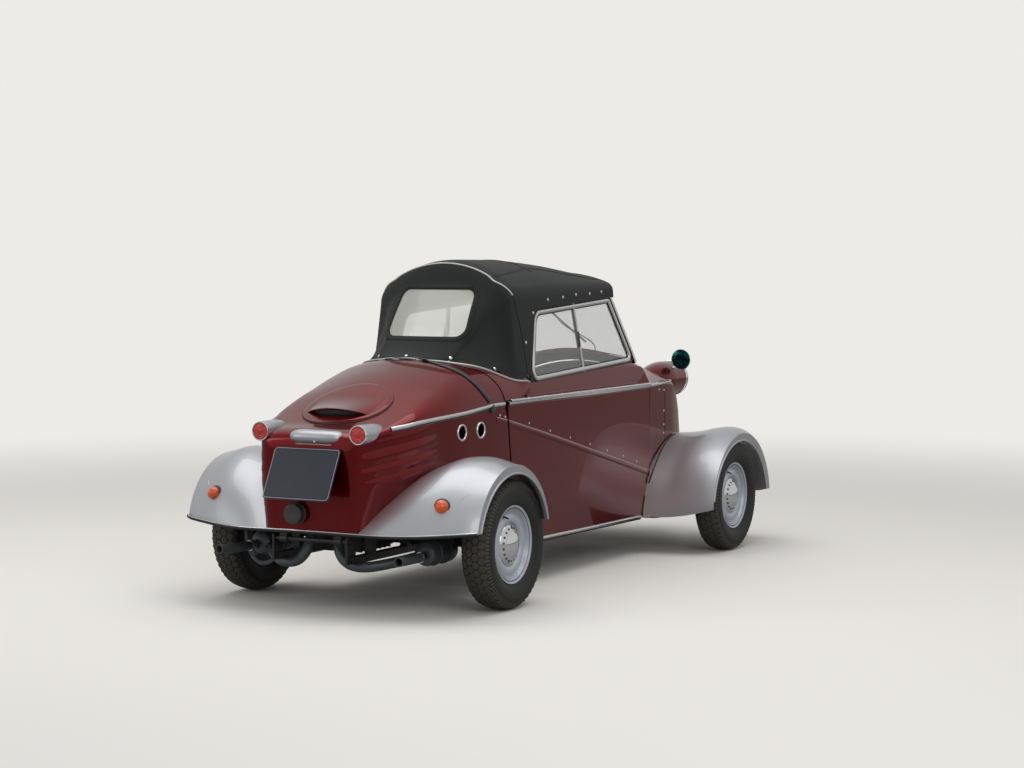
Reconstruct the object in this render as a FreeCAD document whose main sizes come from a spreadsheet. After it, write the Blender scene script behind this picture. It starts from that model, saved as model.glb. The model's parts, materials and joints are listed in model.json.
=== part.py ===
import FreeCAD, Part
import Sketcher
import math
import os

# A tandem two-seat bubble car on four wheels. Millimetres, +Z up, the front points along -Y and the
# car's right side along -X. The origin is on the ground, in the middle of the whole length and width.

Vector = FreeCAD.Vector
doc = FreeCAD.newDocument("bubble_car")
sheet = doc.addObject("Spreadsheet::Sheet", "Sizes")

sizes = [
    # alias, value, what it is
    ("front_axle_y", -928, "place of the front axle"),
    ("wheelbase", 1888, "front axle to rear axle"),
    ("front_track", 1150, "between the front tyres' middles"),
    ("rear_track", 1045, "between the rear tyres' middles"),
    ("tyre_radius", 231, "ground to axle"),
    ("tyre_width", 112, "across the sidewalls"),
    ("bead_radius", 127, "tyre seat on the rim"),
    ("rim_flange", 139, "outer edge of the rim"),
    ("rim_width", 84, "between the rim's outer faces"),
    ("rim_wall", 4, "pressed steel of the rim"),
    ("disc_offset", 12, "rim disc outboard of the tyre's middle"),
    ("hub_bore", 20, "radius of the hub's bore"),
    ("cap_radius", 72, "domed hub cap"),
    ("cap_height", 34, "how far the dome stands out"),
    ("fit_gap", 0.3, "between pieces that seat on each other"),
    ("panel_gap", 6, "between panels that open"),
    ("skin", 5, "wall of the pressed panels"),
    ("wall", 26, "side of the cabin with its lining"),
    ("body_half", 330, "centre plane to the side of the body"),
    ("belt_height", 704, "top of the tub's sides"),
    ("sill_height", 152, "underside of the tub"),
    ("tub_behind_front_axle", 236, "front end of the cabin sides"),
    ("tub_ahead_of_rear_axle", 400, "seam to the tail"),
    ("tub_front", "=front_axle_y + tub_behind_front_axle", "front end of the cabin sides"),
    ("tub_rear", "=front_axle_y + wheelbase - tub_ahead_of_rear_axle", "seam to the tail"),
    ("hinge_out", 8, "canopy hinge line outside the body"),
    ("hood_wall", 10, "cloth and frame of the hood"),
    ("frame_width", 22, "visible width of the window frames"),
    ("frame_depth", 14, "thickness of the window frames"),
    ("glass", 4, "thickness of the panes"),
    ("kingpin_inset", 62, "kingpin inboard of the tyre's middle"),
    ("kingpin_radius", 9, "kingpin"),
    ("beam_radius", 21, "axle tubes"),
    ("tail_hinge_behind_axle", 430, "tail hinge axis"),
    ("tail_hinge_y", "=front_axle_y + wheelbase + tail_hinge_behind_axle", "tail hinge axis"),
    ("tail_hinge_z", 262, "tail hinge axis above the ground"),
    ("tail_pin", 8, "radius of the tail hinge pin"),
    ("lamp_radius", 75, "headlamp pods"),
    ("lamp_height", 705, "headlamp pods above the ground"),
    ("lid_half_width", 165, "engine lid"),
    ("lid_half_length", 150, "engine lid"),
    ("lid_pin", 4, "radius of the lid's hinge pin"),
    ("seat_width", 400, "both seats"),
]
for row, (alias, value, note) in enumerate(sizes, start=1):
    sheet.set(f"A{row}", note)
    sheet.set(f"B{row}", str(value))
    sheet.setAlias(f"B{row}", alias)
doc.recompute()
nodes = []


def size(alias):
    return float(getattr(sheet, alias))


front_y = size("front_axle_y")
rear_y = front_y + size("wheelbase")
skin = size("skin")
gap = size("fit_gap")
belt = size("belt_height")


# ---- small helpers ----------------------------------------------------------------------------

def bind(thing, **formulas):
    for key, formula in formulas.items():
        thing.setExpression(key.replace("_at_", "Placement.Base."), str(formula))
    return thing


def block(name, length, width, height, x, y, z):
    thing = doc.addObject("Part::Box", name)
    return bind(thing, Length=length, Width=width, Height=height, _at_x=x, _at_y=y, _at_z=z)


def rod(name, radius, length, x, y, z, along="x"):
    thing = doc.addObject("Part::Cylinder", name)
    turn = {"x": FreeCAD.Rotation(Vector(0, 1, 0), 90),
            "y": FreeCAD.Rotation(Vector(1, 0, 0), -90),
            "z": FreeCAD.Rotation()}[along]
    thing.Placement = FreeCAD.Placement(Vector(), turn)
    return bind(thing, Radius=radius, Height=length, _at_x=x, _at_y=y, _at_z=z)


def joined(name, pieces):
    thing = doc.addObject("Part::MultiFuse", name)
    thing.Shapes = pieces
    return thing


def carved(name, base, tool):
    thing = doc.addObject("Part::Cut", name)
    thing.Base, thing.Tool = base, tool
    return thing


def free_shape(name, shape):
    thing = doc.addObject("Part::Feature", name)
    thing.Shape = shape
    return thing


def keep(label, thing):
    thing.Label = label
    nodes.append(thing)
    return thing


def turned(name, outline, place):
    """A PartDesign body: a sketched outline (along the axle, radius) turned about its X axis."""
    body = doc.addObject("PartDesign::Body", name)
    sketch = body.newObject("Sketcher::SketchObject", name + "_outline")
    plane = [item for item in body.Origin.OriginFeatures if item.Role == "XY_Plane"][0]
    sketch.AttachmentSupport = [(plane, "")]
    sketch.MapMode = "FlatFace"
    spots = [Vector(float(sheet.evalExpression(a)), float(sheet.evalExpression(b)), 0)
             for a, b in outline]
    count = len(spots)
    for index in range(count):
        sketch.addGeometry(Part.LineSegment(spots[index], spots[(index + 1) % count]), False)
    for index in range(count):
        sketch.addConstraint(Sketcher.Constraint("Coincident", index, 2, (index + 1) % count, 1))
    for index, (along, radius) in enumerate(outline):
        for kind, formula in (("DistanceX", along), ("DistanceY", radius)):
            value = float(sheet.evalExpression(formula))
            number = sketch.addConstraint(Sketcher.Constraint(kind, -1, 1, index, 1, value))
            sketch.setExpression(f"Constraints[{number}]", formula)
    spin = body.newObject("PartDesign::Revolution", name + "_turn")
    spin.Profile = sketch
    spin.ReferenceAxis = (sketch, ["H_Axis"])
    spin.Angle = 360
    body.Tip = spin
    body.Placement = place
    return body


# ---- sections and lofts -----------------------------------------------------------------------

def arch_edges(y, half, spring, top, crown):
    """A three-centred arch over the width: two side arcs and a flatter crown arc, at station y."""
    rise = top - spring
    side = (half ** 2 + rise ** 2 - 2 * crown * rise) / (2 * half - 2 * crown)
    side = max(min(side, 0.97 * rise, 0.97 * half), 0.05 * rise)
    crown = (half ** 2 + rise ** 2 - 2 * half * side) / (2 * (rise - side))
    reach = half - side
    length = math.hypot(reach, crown - rise)
    touch = Vector(crown * reach / length, y, spring + rise - crown + crown * (crown - rise) / length)
    lean = math.atan2(touch.z - spring, touch.x - reach) / 2
    middle = Vector(reach + side * math.cos(lean), y, spring + side * math.sin(lean))
    start, end = Vector(half, y, spring), Vector(0, y, top)
    return [Part.Arc(start, middle, touch).toShape(),
            Part.Arc(touch, end, flip(touch)).toShape(),
            Part.Arc(flip(touch), flip(middle), flip(start)).toShape()]


def body_section(y, foot_half, foot, half, spring, top, crown):
    """Closed section of a body shell: flat underside, two sides and an arch."""
    low = [Vector(-foot_half, y, foot), Vector(foot_half, y, foot)]
    high = [Vector(-half, y, spring), Vector(half, y, spring)]
    edges = [Part.makeLine(low[0], low[1]), Part.makeLine(low[1], high[1])]
    edges += arch_edges(y, half, spring, top, crown)
    edges.append(Part.makeLine(high[0], low[0]))
    return Part.Wire(edges)


def shell_section(y, foot_half, foot, half, spring, top, crown, wall):
    """Section of an open-bottomed shell: the outer line over the top and the inner line back."""
    low, high = Vector(foot_half, y, foot), Vector(half, y, spring)
    low_in, high_in = Vector(foot_half - wall, y, foot), Vector(half - wall, y, spring)
    over = arch_edges(y, half, spring, top, crown)
    under = arch_edges(y, half - wall, spring, top - wall, crown - wall)
    edges = [Part.makeLine(low, high)] + over
    edges += [Part.makeLine(flip(high), flip(low)), Part.makeLine(flip(low), flip(low_in)),
              Part.makeLine(flip(low_in), flip(high_in))]
    edges += under[::-1]
    edges += [Part.makeLine(high_in, low_in), Part.makeLine(low_in, low)]
    return Part.Wire(Part.__sortEdges__(edges))


def body_loft(rows, start, wall=None):
    """rows: station from start, foot half width, foot height, half width, spring, top, crown."""
    if wall is None:
        wires = [body_section(start + row[0], *row[1:]) for row in rows]
    else:
        wires = [shell_section(start + row[0], *row[1:], wall) for row in rows]
    return Part.makeLoft(wires, True, True)


def eased(rows, parts):
    """The rows with more between them, on curves through the given ones that never overshoot."""
    def slopes(column):
        steps = [b[0] - a[0] for a, b in zip(rows, rows[1:])]
        rises = [(b[column] - a[column]) / step for a, b, step in zip(rows, rows[1:], steps)]
        inner = [2 * p * q / (p + q) if p * q > 0 else 0 for p, q in zip(rises, rises[1:])]
        return [rises[0]] + inner + [rises[-1]]

    tangents = [slopes(column) for column in range(1, len(rows[0]))]
    filled = [rows[0]]
    for index, (one, other) in enumerate(zip(rows, rows[1:])):
        run = other[0] - one[0]
        for part in range(1, parts + 1):
            t = part / parts
            values = [(2 * t ** 3 - 3 * t ** 2 + 1) * a + (t ** 3 - 2 * t ** 2 + t) * run * lean[index]
                      + (3 * t ** 2 - 2 * t ** 3) * b + (t ** 3 - t ** 2) * run * lean[index + 1]
                      for a, b, lean in zip(one[1:], other[1:], tangents)]
            filled.append((one[0] + run * t,) + tuple(values))
    return filled


def closed_end(row, start, thick):
    """A flat end wall with the outline of one row."""
    return body_loft([row, (row[0] + thick,) + tuple(row[1:])], start)


def flip(point):
    return Vector(-point.x, point.y, point.z)


def wing_section(x, first, top, last, wall):
    """Side-on section of a wing at x: an arc over three points (y, z), and one a wall inside."""
    ends = [Vector(x, *first), Vector(x, *last)]
    inner = [Vector(x, first[0] + wall, first[1]), Vector(x, last[0] - wall, last[1])]
    over = Part.Arc(ends[0], Vector(x, *top), ends[1]).toShape()
    under = Part.Arc(inner[1], Vector(x, top[0], top[1] - wall), inner[0]).toShape()
    return Part.Wire([over, Part.makeLine(ends[1], inner[1]), under,
                      Part.makeLine(inner[0], ends[0])])


def wing_loft(rows, side, axle, wall):
    """rows: x, front end (y, z), top (y, z), rear end (y, z), with y counted from the axle."""
    wires = []
    for x, (fy, fz), (ty, tz), (ry, rz) in rows:
        wires.append(wing_section(side * x, (axle + fy, fz), (axle + ty, tz), (axle + ry, rz), wall))
    return Part.makeLoft(wires, True, True)


def row_between(one, other, x):
    """The row at x on the straight lines through two rows of a wing."""
    share = (x - one[0]) / (other[0] - one[0])
    points = [tuple(a + share * (b - a) for a, b in zip(p, q)) for p, q in zip(one[1:], other[1:])]
    return (x,) + tuple(points)


def wing_fill(rows, side, axle):
    """The whole space under a wing, to trim what sits on it."""
    wires = []
    for x, (fy, fz), (ty, tz), (ry, rz) in rows:
        start, end = Vector(side * x, axle + fy, fz), Vector(side * x, axle + ry, rz)
        over = Part.Arc(start, Vector(side * x, axle + ty, tz), end).toShape()
        wires.append(Part.Wire([over, Part.makeLine(end, start)]))
    return Part.makeLoft(wires, True, True)


def wing_flank(row, side, axle, wall, arch_y, arch_z, arch_radius):
    """The flat outer side of a wing, from its outline down to the wheel arch."""
    x, (fy, fz), (ty, tz), (ry, rz) = row
    over = Part.Arc(Vector(side * x, axle + fy, fz), Vector(side * x, axle + ty, tz),
                    Vector(side * x, axle + ry, rz)).toShape()
    chord = Part.makeLine(over.Vertexes[1].Point, over.Vertexes[0].Point)
    plate = Part.Face(Part.Wire([over, chord])).extrude(Vector(-side * wall, 0, 0))
    arch = Part.makeCylinder(arch_radius, 4 * wall, Vector(side * (x - 2 * wall), axle + arch_y, arch_z),
                             Vector(side, 0, 0))
    return plate.cut(arch)


def prism(points, x_from, x_to):
    """A side-on outline of (y, z) points, as thick as from x_from to x_to."""
    corners = [Vector(x_from, y, z) for y, z in points]
    face = Part.Face(Part.makePolygon(corners + corners[:1]))
    return face.extrude(Vector(x_to - x_from, 0, 0))


def rounded(points, bends):
    """Closed (y, z) outline with an arc of the given radius at each corner, as points."""
    line = []
    count = len(points)
    for index, bend in enumerate(bends):
        corner = Vector(0, *points[index])
        before = (Vector(0, *points[index - 1]) - corner).normalize()
        after = (Vector(0, *points[(index + 1) % count]) - corner).normalize()
        turn = math.pi - before.getAngle(after)
        if bend == 0:
            line.append(points[index])
            continue
        inward = (before + after).normalize()
        centre = corner + inward * (bend / math.cos(turn / 2))
        for step in range(7):
            share = step / 6 - 0.5
            lean = inward * -math.cos(turn * share) + (after - before).normalize() * math.sin(turn * share)
            spot = centre + lean * bend
            line.append((spot.y, spot.z))
    return line


def mirrored(shape):
    return shape.mirror(Vector(), Vector(1, 0, 0))


def tube_along(points, radius, bend):
    """A round bar along straight runs, joined by arcs of the given bend radius."""
    edges, last = [], points[0]
    for before, corner, after in zip(points, points[1:], points[2:]):
        arrive = (corner - before).normalize()
        leave = (after - corner).normalize()
        turn = arrive.getAngle(leave)
        cut = bend * math.tan(turn / 2)
        start, end = corner - arrive * cut, corner + leave * cut
        inward = (leave - arrive).normalize()
        centre = corner + inward * (bend / math.cos(turn / 2))
        edges.append(Part.makeLine(last, start))
        edges.append(Part.Arc(start, centre - inward * bend, end).toShape())
        last = end
    edges.append(Part.makeLine(last, points[-1]))
    path = Part.Wire(edges)
    circle = Part.Wire(Part.makeCircle(radius, points[0], points[1] - points[0]))
    return path.makePipeShell([circle], True, False)


# ---- wheels -----------------------------------------------------------------------------------

wheels = []
for end in ("front", "rear"):
    for side_name, side in (("left", 1), ("right", -1)):
        axle = front_y if end == "front" else rear_y
        centre = Vector(side * size(end + "_track") / 2, axle, size("tyre_radius"))
        turn = FreeCAD.Rotation(Vector(0, 0, 1), 0 if side > 0 else 180)
        wheels.append((f"{end}_{side_name}", FreeCAD.Placement(centre, turn)))

tyre_outline = [
    ("-Sizes.rim_width / 2 + Sizes.rim_wall + Sizes.fit_gap", "Sizes.bead_radius + Sizes.fit_gap"),
    ("-Sizes.rim_width / 2 + Sizes.rim_wall + Sizes.fit_gap", "Sizes.rim_flange + 2 * Sizes.fit_gap"),
    ("-Sizes.rim_width / 2 - 4", "Sizes.rim_flange + 4"),
    ("-Sizes.tyre_width / 2", "Sizes.tyre_radius * 0.78"),
    ("-Sizes.tyre_width / 2 + 3", "Sizes.tyre_radius * 0.88"),
    ("-Sizes.tyre_width / 2 + 14", "Sizes.tyre_radius * 0.965"),
    ("-Sizes.tyre_width / 5", "Sizes.tyre_radius * 0.993"),
    ("0", "Sizes.tyre_radius"),
    ("Sizes.tyre_width / 5", "Sizes.tyre_radius * 0.993"),
    ("Sizes.tyre_width / 2 - 14", "Sizes.tyre_radius * 0.965"),
    ("Sizes.tyre_width / 2 - 3", "Sizes.tyre_radius * 0.88"),
    ("Sizes.tyre_width / 2", "Sizes.tyre_radius * 0.78"),
    ("Sizes.rim_width / 2 + 4", "Sizes.rim_flange + 4"),
    ("Sizes.rim_width / 2 - Sizes.rim_wall - Sizes.fit_gap", "Sizes.rim_flange + 2 * Sizes.fit_gap"),
    ("Sizes.rim_width / 2 - Sizes.rim_wall - Sizes.fit_gap", "Sizes.bead_radius + Sizes.fit_gap"),
]
rim_outline = [
    ("-Sizes.rim_width / 2", "Sizes.bead_radius - Sizes.rim_wall"),
    ("-Sizes.rim_width / 2", "Sizes.rim_flange"),
    ("-Sizes.rim_width / 2 + Sizes.rim_wall", "Sizes.rim_flange"),
    ("-Sizes.rim_width / 2 + Sizes.rim_wall", "Sizes.bead_radius"),
    ("Sizes.rim_width / 2 - Sizes.rim_wall", "Sizes.bead_radius"),
    ("Sizes.rim_width / 2 - Sizes.rim_wall", "Sizes.rim_flange"),
    ("Sizes.rim_width / 2", "Sizes.rim_flange"),
    ("Sizes.rim_width / 2", "Sizes.bead_radius - Sizes.rim_wall"),
    ("Sizes.disc_offset + 12", "Sizes.bead_radius - Sizes.rim_wall - 9"),
    ("Sizes.disc_offset + 18", "Sizes.cap_radius + 10"),
    ("Sizes.disc_offset + 6", "Sizes.cap_radius - 4"),
    ("Sizes.disc_offset + 6", "Sizes.hub_bore"),
    ("Sizes.disc_offset - 8", "Sizes.hub_bore"),
    ("Sizes.disc_offset - 8", "Sizes.cap_radius"),
    ("Sizes.disc_offset + 8", "Sizes.cap_radius + 12"),
    ("Sizes.disc_offset", "Sizes.bead_radius - Sizes.rim_wall"),
]
cap_face = "Sizes.disc_offset + 6"
cap_outline = [
    (cap_face, "Sizes.cap_radius - 6"),
    (cap_face + " + 8", "Sizes.cap_radius - 1"),
    (cap_face + " + 0.45 * Sizes.cap_height", "Sizes.cap_radius * 0.9"),
    (cap_face + " + 0.7 * Sizes.cap_height", "Sizes.cap_radius * 0.72"),
    (cap_face + " + 0.9 * Sizes.cap_height", "Sizes.cap_radius * 0.45"),
    (cap_face + " + Sizes.cap_height", "0"),
    (cap_face + " + Sizes.cap_height - 3", "0"),
    (cap_face + " + 0.9 * Sizes.cap_height - 3", "Sizes.cap_radius * 0.42"),
    (cap_face + " + 0.65 * Sizes.cap_height", "Sizes.cap_radius * 0.66"),
    (cap_face + " + 4", "Sizes.cap_radius - 10"),
    (cap_face, "Sizes.cap_radius - 12"),
]
for wheel, place in wheels:
    keep("tyre_" + wheel, turned("tyre_" + wheel, tyre_outline, place))
    keep("rim_" + wheel, turned("rim_" + wheel, rim_outline, place))
    keep("hub_cap_" + wheel, turned("hub_cap_" + wheel, cap_outline, place))


# ---- axles and knuckles -----------------------------------------------------------------------

spindle = "Sizes.hub_bore - Sizes.fit_gap"
for side_name, side in (("left", 1), ("right", -1)):
    pin_x = f"{side} * (Sizes.front_track / 2 - Sizes.kingpin_inset)"
    upright = block(f"upright_{side_name}", 30, 52, 84, pin_x + " - 15", "Sizes.front_axle_y - 26",
                    "Sizes.tyre_radius - 42")
    bore = rod(f"kingpin_bore_{side_name}", "Sizes.kingpin_radius + 0.1", 90, pin_x,
               "Sizes.front_axle_y", "Sizes.tyre_radius - 45", "z")
    shaft_from = pin_x + " + 14" if side > 0 else pin_x + " - 14 - Sizes.kingpin_inset - 2"
    shaft = rod(f"spindle_{side_name}", spindle, "Sizes.kingpin_inset + 2", shaft_from,
                "Sizes.front_axle_y", "Sizes.tyre_radius")
    arm = block(f"steering_arm_{side_name}", 14, 110, 12, pin_x + " - 7",
                "Sizes.front_axle_y + 20", "Sizes.tyre_radius - 30")
    whole = joined(f"knuckle_solid_{side_name}", [upright, shaft, arm])
    keep(f"knuckle_{side_name}", carved(f"knuckle_{side_name}", whole, bore))

beam = rod("front_beam", "Sizes.beam_radius", "Sizes.front_track - 2 * Sizes.kingpin_inset - 60",
           "-Sizes.front_track / 2 + Sizes.kingpin_inset + 30", "Sizes.front_axle_y",
           "Sizes.tyre_radius")
beam_parts = [beam]
for side_name, side in (("left", 1), ("right", -1)):
    pin_x = f"{side} * (Sizes.front_track / 2 - Sizes.kingpin_inset)"
    for level, low in (("top", "Sizes.tyre_radius + 42 + Sizes.fit_gap"),
                       ("bottom", "Sizes.tyre_radius - 54 - Sizes.fit_gap")):
        start = pin_x + " - 50" if side > 0 else pin_x + " - 22"
        beam_parts.append(block(f"yoke_{level}_{side_name}", 72, 44, 12, start,
                                "Sizes.front_axle_y - 22", low))
    web = pin_x + " - 50" if side > 0 else pin_x + " + 34"
    beam_parts.append(block(f"yoke_web_{side_name}", 16, 44, "108 + 2 * Sizes.fit_gap", web,
                            "Sizes.front_axle_y - 22", "Sizes.tyre_radius - 54 - Sizes.fit_gap"))
    beam_parts.append(rod(f"kingpin_{side_name}", "Sizes.kingpin_radius",
                          "108 + 2 * Sizes.fit_gap", pin_x, "Sizes.front_axle_y",
                          "Sizes.tyre_radius - 54 - Sizes.fit_gap", "z"))
for side_name, start in (("left", 135), ("right", -165)):
    beam_parts.append(block(f"axle_arm_{side_name}", 30, "Sizes.tub_front - Sizes.front_axle_y + 32"
                            " - Sizes.fit_gap", 20, start, "Sizes.front_axle_y - 20",
                            "Sizes.sill_height"))
    beam_parts.append(block(f"axle_post_{side_name}", 30, 40, "Sizes.tyre_radius - Sizes.sill_height",
                            start, "Sizes.front_axle_y - 20", "Sizes.sill_height"))
keep("front_axle", joined("front_axle", beam_parts))

rear_parts = [
    rod("rear_tube", "Sizes.beam_radius", "Sizes.rear_track - 120", "-Sizes.rear_track / 2 + 60",
        "Sizes.front_axle_y + Sizes.wheelbase", "Sizes.tyre_radius"),
    rod("rear_spindles", spindle, "Sizes.rear_track + 2 * Sizes.disc_offset + 8",
        "-Sizes.rear_track / 2 - Sizes.disc_offset - 4", "Sizes.front_axle_y + Sizes.wheelbase",
        "Sizes.tyre_radius")]
for side_name, start in (("left", "Sizes.rear_track / 2 - 60"), ("right", "-Sizes.rear_track / 2 + 42")):
    rear_parts.append(rod(f"brake_drum_{side_name}", 82, 18, start,
                          "Sizes.front_axle_y + Sizes.wheelbase", "Sizes.tyre_radius"))
keep("rear_axle", joined("rear_axle", rear_parts))


# ---- tub --------------------------------------------------------------------------------------

half = size("body_half")
wall = size("wall")
sill = size("sill_height")
tub_front, tub_rear = size("tub_front"), size("tub_rear")

floor_top = sill + 22
keep("floor_pan", block("floor_pan", "2 * (Sizes.body_half - Sizes.wall - Sizes.fit_gap)",
                        "Sizes.tub_rear - Sizes.tub_front - 24", 22,
                        "-Sizes.body_half + Sizes.wall + Sizes.fit_gap", "Sizes.tub_front + 12",
                        "Sizes.sill_height"))
side_outline = [(tub_front + gap, sill), (rear_y - 246, sill), (rear_y - 246, 288),
                (tub_rear - 24, 288), (tub_rear - 24, 480), (tub_rear, belt - 60),
                (tub_rear + 4, belt), (tub_front + gap, belt)]
side_panel = prism(side_outline, half - wall, half)
keep("side_panels", free_shape("side_panels", Part.makeCompound([side_panel, mirrored(side_panel)])))
keep("rear_bulkhead", block("rear_bulkhead", "2 * (Sizes.body_half - Sizes.wall - Sizes.fit_gap)",
                            12, "Sizes.belt_height - Sizes.sill_height - 22 - Sizes.fit_gap",
                            "-Sizes.body_half + Sizes.wall + Sizes.fit_gap",
                            "Sizes.tub_rear - 40", "Sizes.sill_height + 22 + Sizes.fit_gap"))


# ---- nose -------------------------------------------------------------------------------------

nose_rows = [
    # ahead of the front axle, foot half width, foot height, half width, spring, top, crown radius
    (tub_front - front_y, 326, sill, half, 704, 797, 620),
    (-10, 322, 158, 319, 690, 786, 630),
    (-100, 312, 168, 300, 630, 762, 600),
    (-210, 284, 182, 262, 560, 728, 560),
    (-380, 200, 222, 186, 500, 640, 420),
    (-490, 120, 282, 128, 440, 550, 300),
    (-545, 76, 318, 82, 420, 492, 180),
    (-568, 40, 356, 46, 410, 452, 90),
]
nose_rows = eased(nose_rows, 3)
nose_outer = body_loft(nose_rows, front_y)
axle_hole = Part.makeCylinder(size("beam_radius") + 9, 2 * half + 20,
                              Vector(-half - 10, front_y, size("tyre_radius")), Vector(1, 0, 0))
nose = body_loft(nose_rows, front_y, skin).fuse(closed_end(nose_rows[-1], front_y, skin))
keep("nose", free_shape("nose", nose.cut(axle_hole)))


# ---- front wings ------------------------------------------------------------------------------

front_wing_rows = [
    # x, front end (y from the axle, z), top, rear end
    (306, (-470, 205), (-40, 476), (312, 156)),
    (420, (-460, 205), (-20, 484), (306, 158)),
    (500, (-436, 206), (-4, 501), (300, 166)),
    (570, (-400, 214), (4, 510), (292, 180)),
    (610, (-370, 224), (8, 505), (287, 190)),
    (640, (-340, 232), (10, 490), (282, 198)),
]


wing = wing_loft(front_wing_rows, -1, front_y, skin)
wing = wing.fuse(wing_flank(front_wing_rows[-1], -1, front_y, skin, -16, 170, 297))
wing = wing.cut(nose_outer)
wing = wing.cut(Part.makeBox(2 * half + 2 * gap, tub_rear - tub_front, belt,
                             Vector(-half - gap, tub_front - 1, 0)))
keep("front_wings", free_shape("front_wings", Part.makeCompound([wing, mirrored(wing)])))


# ---- tail -------------------------------------------------------------------------------------

tail_rows = [
    # behind the rear axle, foot half width, foot height, half width, spring, top, crown radius
    (-607, 326, 300, 329, 712, 890, 760),
    (-490, 327, 300, 330, 707, 884, 770),
    (-380, 328, 300, 330, 704, 878, 780),
    (-290, 327, 300, 329, 698, 872, 800),
    (-205, 324, 300, 327, 690, 862, 820),
    (-100, 320, 300, 324, 680, 834, 850),
    (0, 312, 300, 318, 668, 800, 910),
    (95, 294, 298, 309, 658, 760, 1300),
    (190, 270, 295, 296, 648, 718, 1800),
    (270, 243, 292, 272, 639, 685, 2100),
    (346, 214, 289, 242, 630, 657, 2400),
    (400, 200, 287, 223, 620, 645, 2400),
    (425, 191, 287, 209, 612, 635, 2300),
    (438, 180, 288, 195, 602, 624, 2200),
    (444, 164, 292, 176, 588, 608, 2000),
]
tail_outer = body_loft(tail_rows, rear_y)
tail_shell = body_loft(tail_rows, rear_y, skin).fuse(closed_end(tail_rows[-1], rear_y, -skin))

# The seam between the canopy and the tail, side on: upright below the belt, then leaning back.
seam = [(tub_rear - 24, 100), (tub_rear - 24, 480), (tub_rear, belt - 60),
        (tub_rear + 26, belt + 4), (tub_rear + 46, belt + 56), (tub_rear + 80, belt + 102),
        (rear_y - 190, 872), (rear_y - 190 + 400, 1300)]
panel = size("panel_gap")
seam_gaps = [1.5] * 5 + [1.8, 2.5, 2.5]
behind = [(y + share * panel, z) for (y, z), share in zip(seam, seam_gaps)]
behind += [(rear_y + 700, 1300), (rear_y + 700, 100)]
ahead = [(y, z) for y, z in seam] + [(front_y, 1300), (front_y, 100)]
tail_side = prism(behind, -700, 700)
canopy_side = prism(ahead, -700, 700)

rear_wing_rows = [
    (162, (-231, 300), (66, 388), (439, 289)),
    (250, (-234, 300), (40, 446), (438, 288)),
    (320, (-235, 300), (18, 490), (428, 288)),
    (385, (-236, 300), (20, 520), (412, 288)),
    (443, (-236, 300), (22, 537), (394, 289)),
    (490, (-236, 300), (24, 540), (376, 290)),
    (530, (-236, 300), (22, 532), (360, 293)),
    (566, (-234, 300), (16, 521), (346, 296)),
    (598, (-206, 304), (12, 513), (322, 303)),
]
cowl = tail_shell.common(tail_side)
lid_y = rear_y + 190


def oval(centre_y, half_width, half_length, low, high):
    """An upright oval column over the lid's place."""
    if half_width < half_length:
        ring = Part.Ellipse(Vector(0, centre_y + half_length, low), Vector(half_width, centre_y, low),
                            Vector(0, centre_y, low))
    else:
        ring = Part.Ellipse(Vector(0, centre_y, low), half_width, half_length)
    face = Part.Face(Part.Wire(ring.toShape()))
    return face.extrude(Vector(0, 0, high - low))


lid_a, lid_b = size("lid_half_width"), size("lid_half_length")
hatch_hole = oval(lid_y, lid_a - 12, lid_b - 12, 500, 900)
cowl = cowl.cut(hatch_hole)
for vent_y in (-62, -193):
    cowl = cowl.cut(Part.makeCylinder(24, 800, Vector(-400, rear_y + vent_y, 612), Vector(1, 0, 0)))
# The lid's hinge pin sits under the cowl, ahead of the hatch, between two brackets.
pin_y, pin_z = lid_y - lid_b - 45, 763
pin_radius = size("lid_pin")
cowl = cowl.fuse(Part.makeCylinder(pin_radius, 120, Vector(-60, pin_y, pin_z), Vector(1, 0, 0)))
for bracket_x in (-60, 52):
    bracket = Part.makeBox(8, 22, 60, Vector(bracket_x, pin_y - 11, pin_z - 11))
    cowl = cowl.fuse(bracket.common(tail_outer))
keep("tail_cowl", free_shape("tail_cowl", cowl))

wing = wing_loft(rear_wing_rows, -1, rear_y, skin)
wing = wing.fuse(wing_flank(rear_wing_rows[-1], -1, rear_y, skin, 50, 222, 262)).cut(tail_outer)
keep("rear_wings", free_shape("rear_wings", Part.makeCompound([wing, mirrored(wing)])))

lid_rows = [(y, a, 500, c, d, e + skin + gap, f)
            for y, a, b, c, d, e, f in tail_rows[5:12]]
lid = body_loft(lid_rows, rear_y, skin).common(oval(lid_y, lid_a, lid_b, 600, 900))

# The lid hangs on two bent arms that turn on the pin.
arm_line = [(-5, 0), (4, -51), (74, -58), (102, -19), (102, 1), (89, 6), (89, -13), (67, -44),
            (15, -39), (5, 0)]
for arm_x in (-30, 30):
    arm = prism([(pin_y + y, pin_z + z) for y, z in arm_line], arm_x - 4, arm_x + 4)
    barrel = Part.makeCylinder(pin_radius + 5, 14, Vector(arm_x - 7, pin_y, pin_z), Vector(1, 0, 0))
    lid = lid.fuse(arm).fuse(barrel)
lid = lid.cut(Part.makeCylinder(pin_radius + gap, 200, Vector(-100, pin_y, pin_z), Vector(1, 0, 0)))
keep("engine_lid", free_shape("engine_lid", lid))

# ---- tail fittings ----------------------------------------------------------------------------

lamps = []
for side in (1, -1):
    base = Vector(side * 200, rear_y + 330, 634)
    barrel = Part.makeCylinder(35, 120, base, Vector(0, 1, 0))
    nose_cone = Part.makeSphere(35, base)
    lamps.append(barrel.fuse(nose_cone).removeSplitter().cut(tail_outer))
keep("tail_lamps", free_shape("tail_lamps", Part.makeCompound(lamps)))

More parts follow.
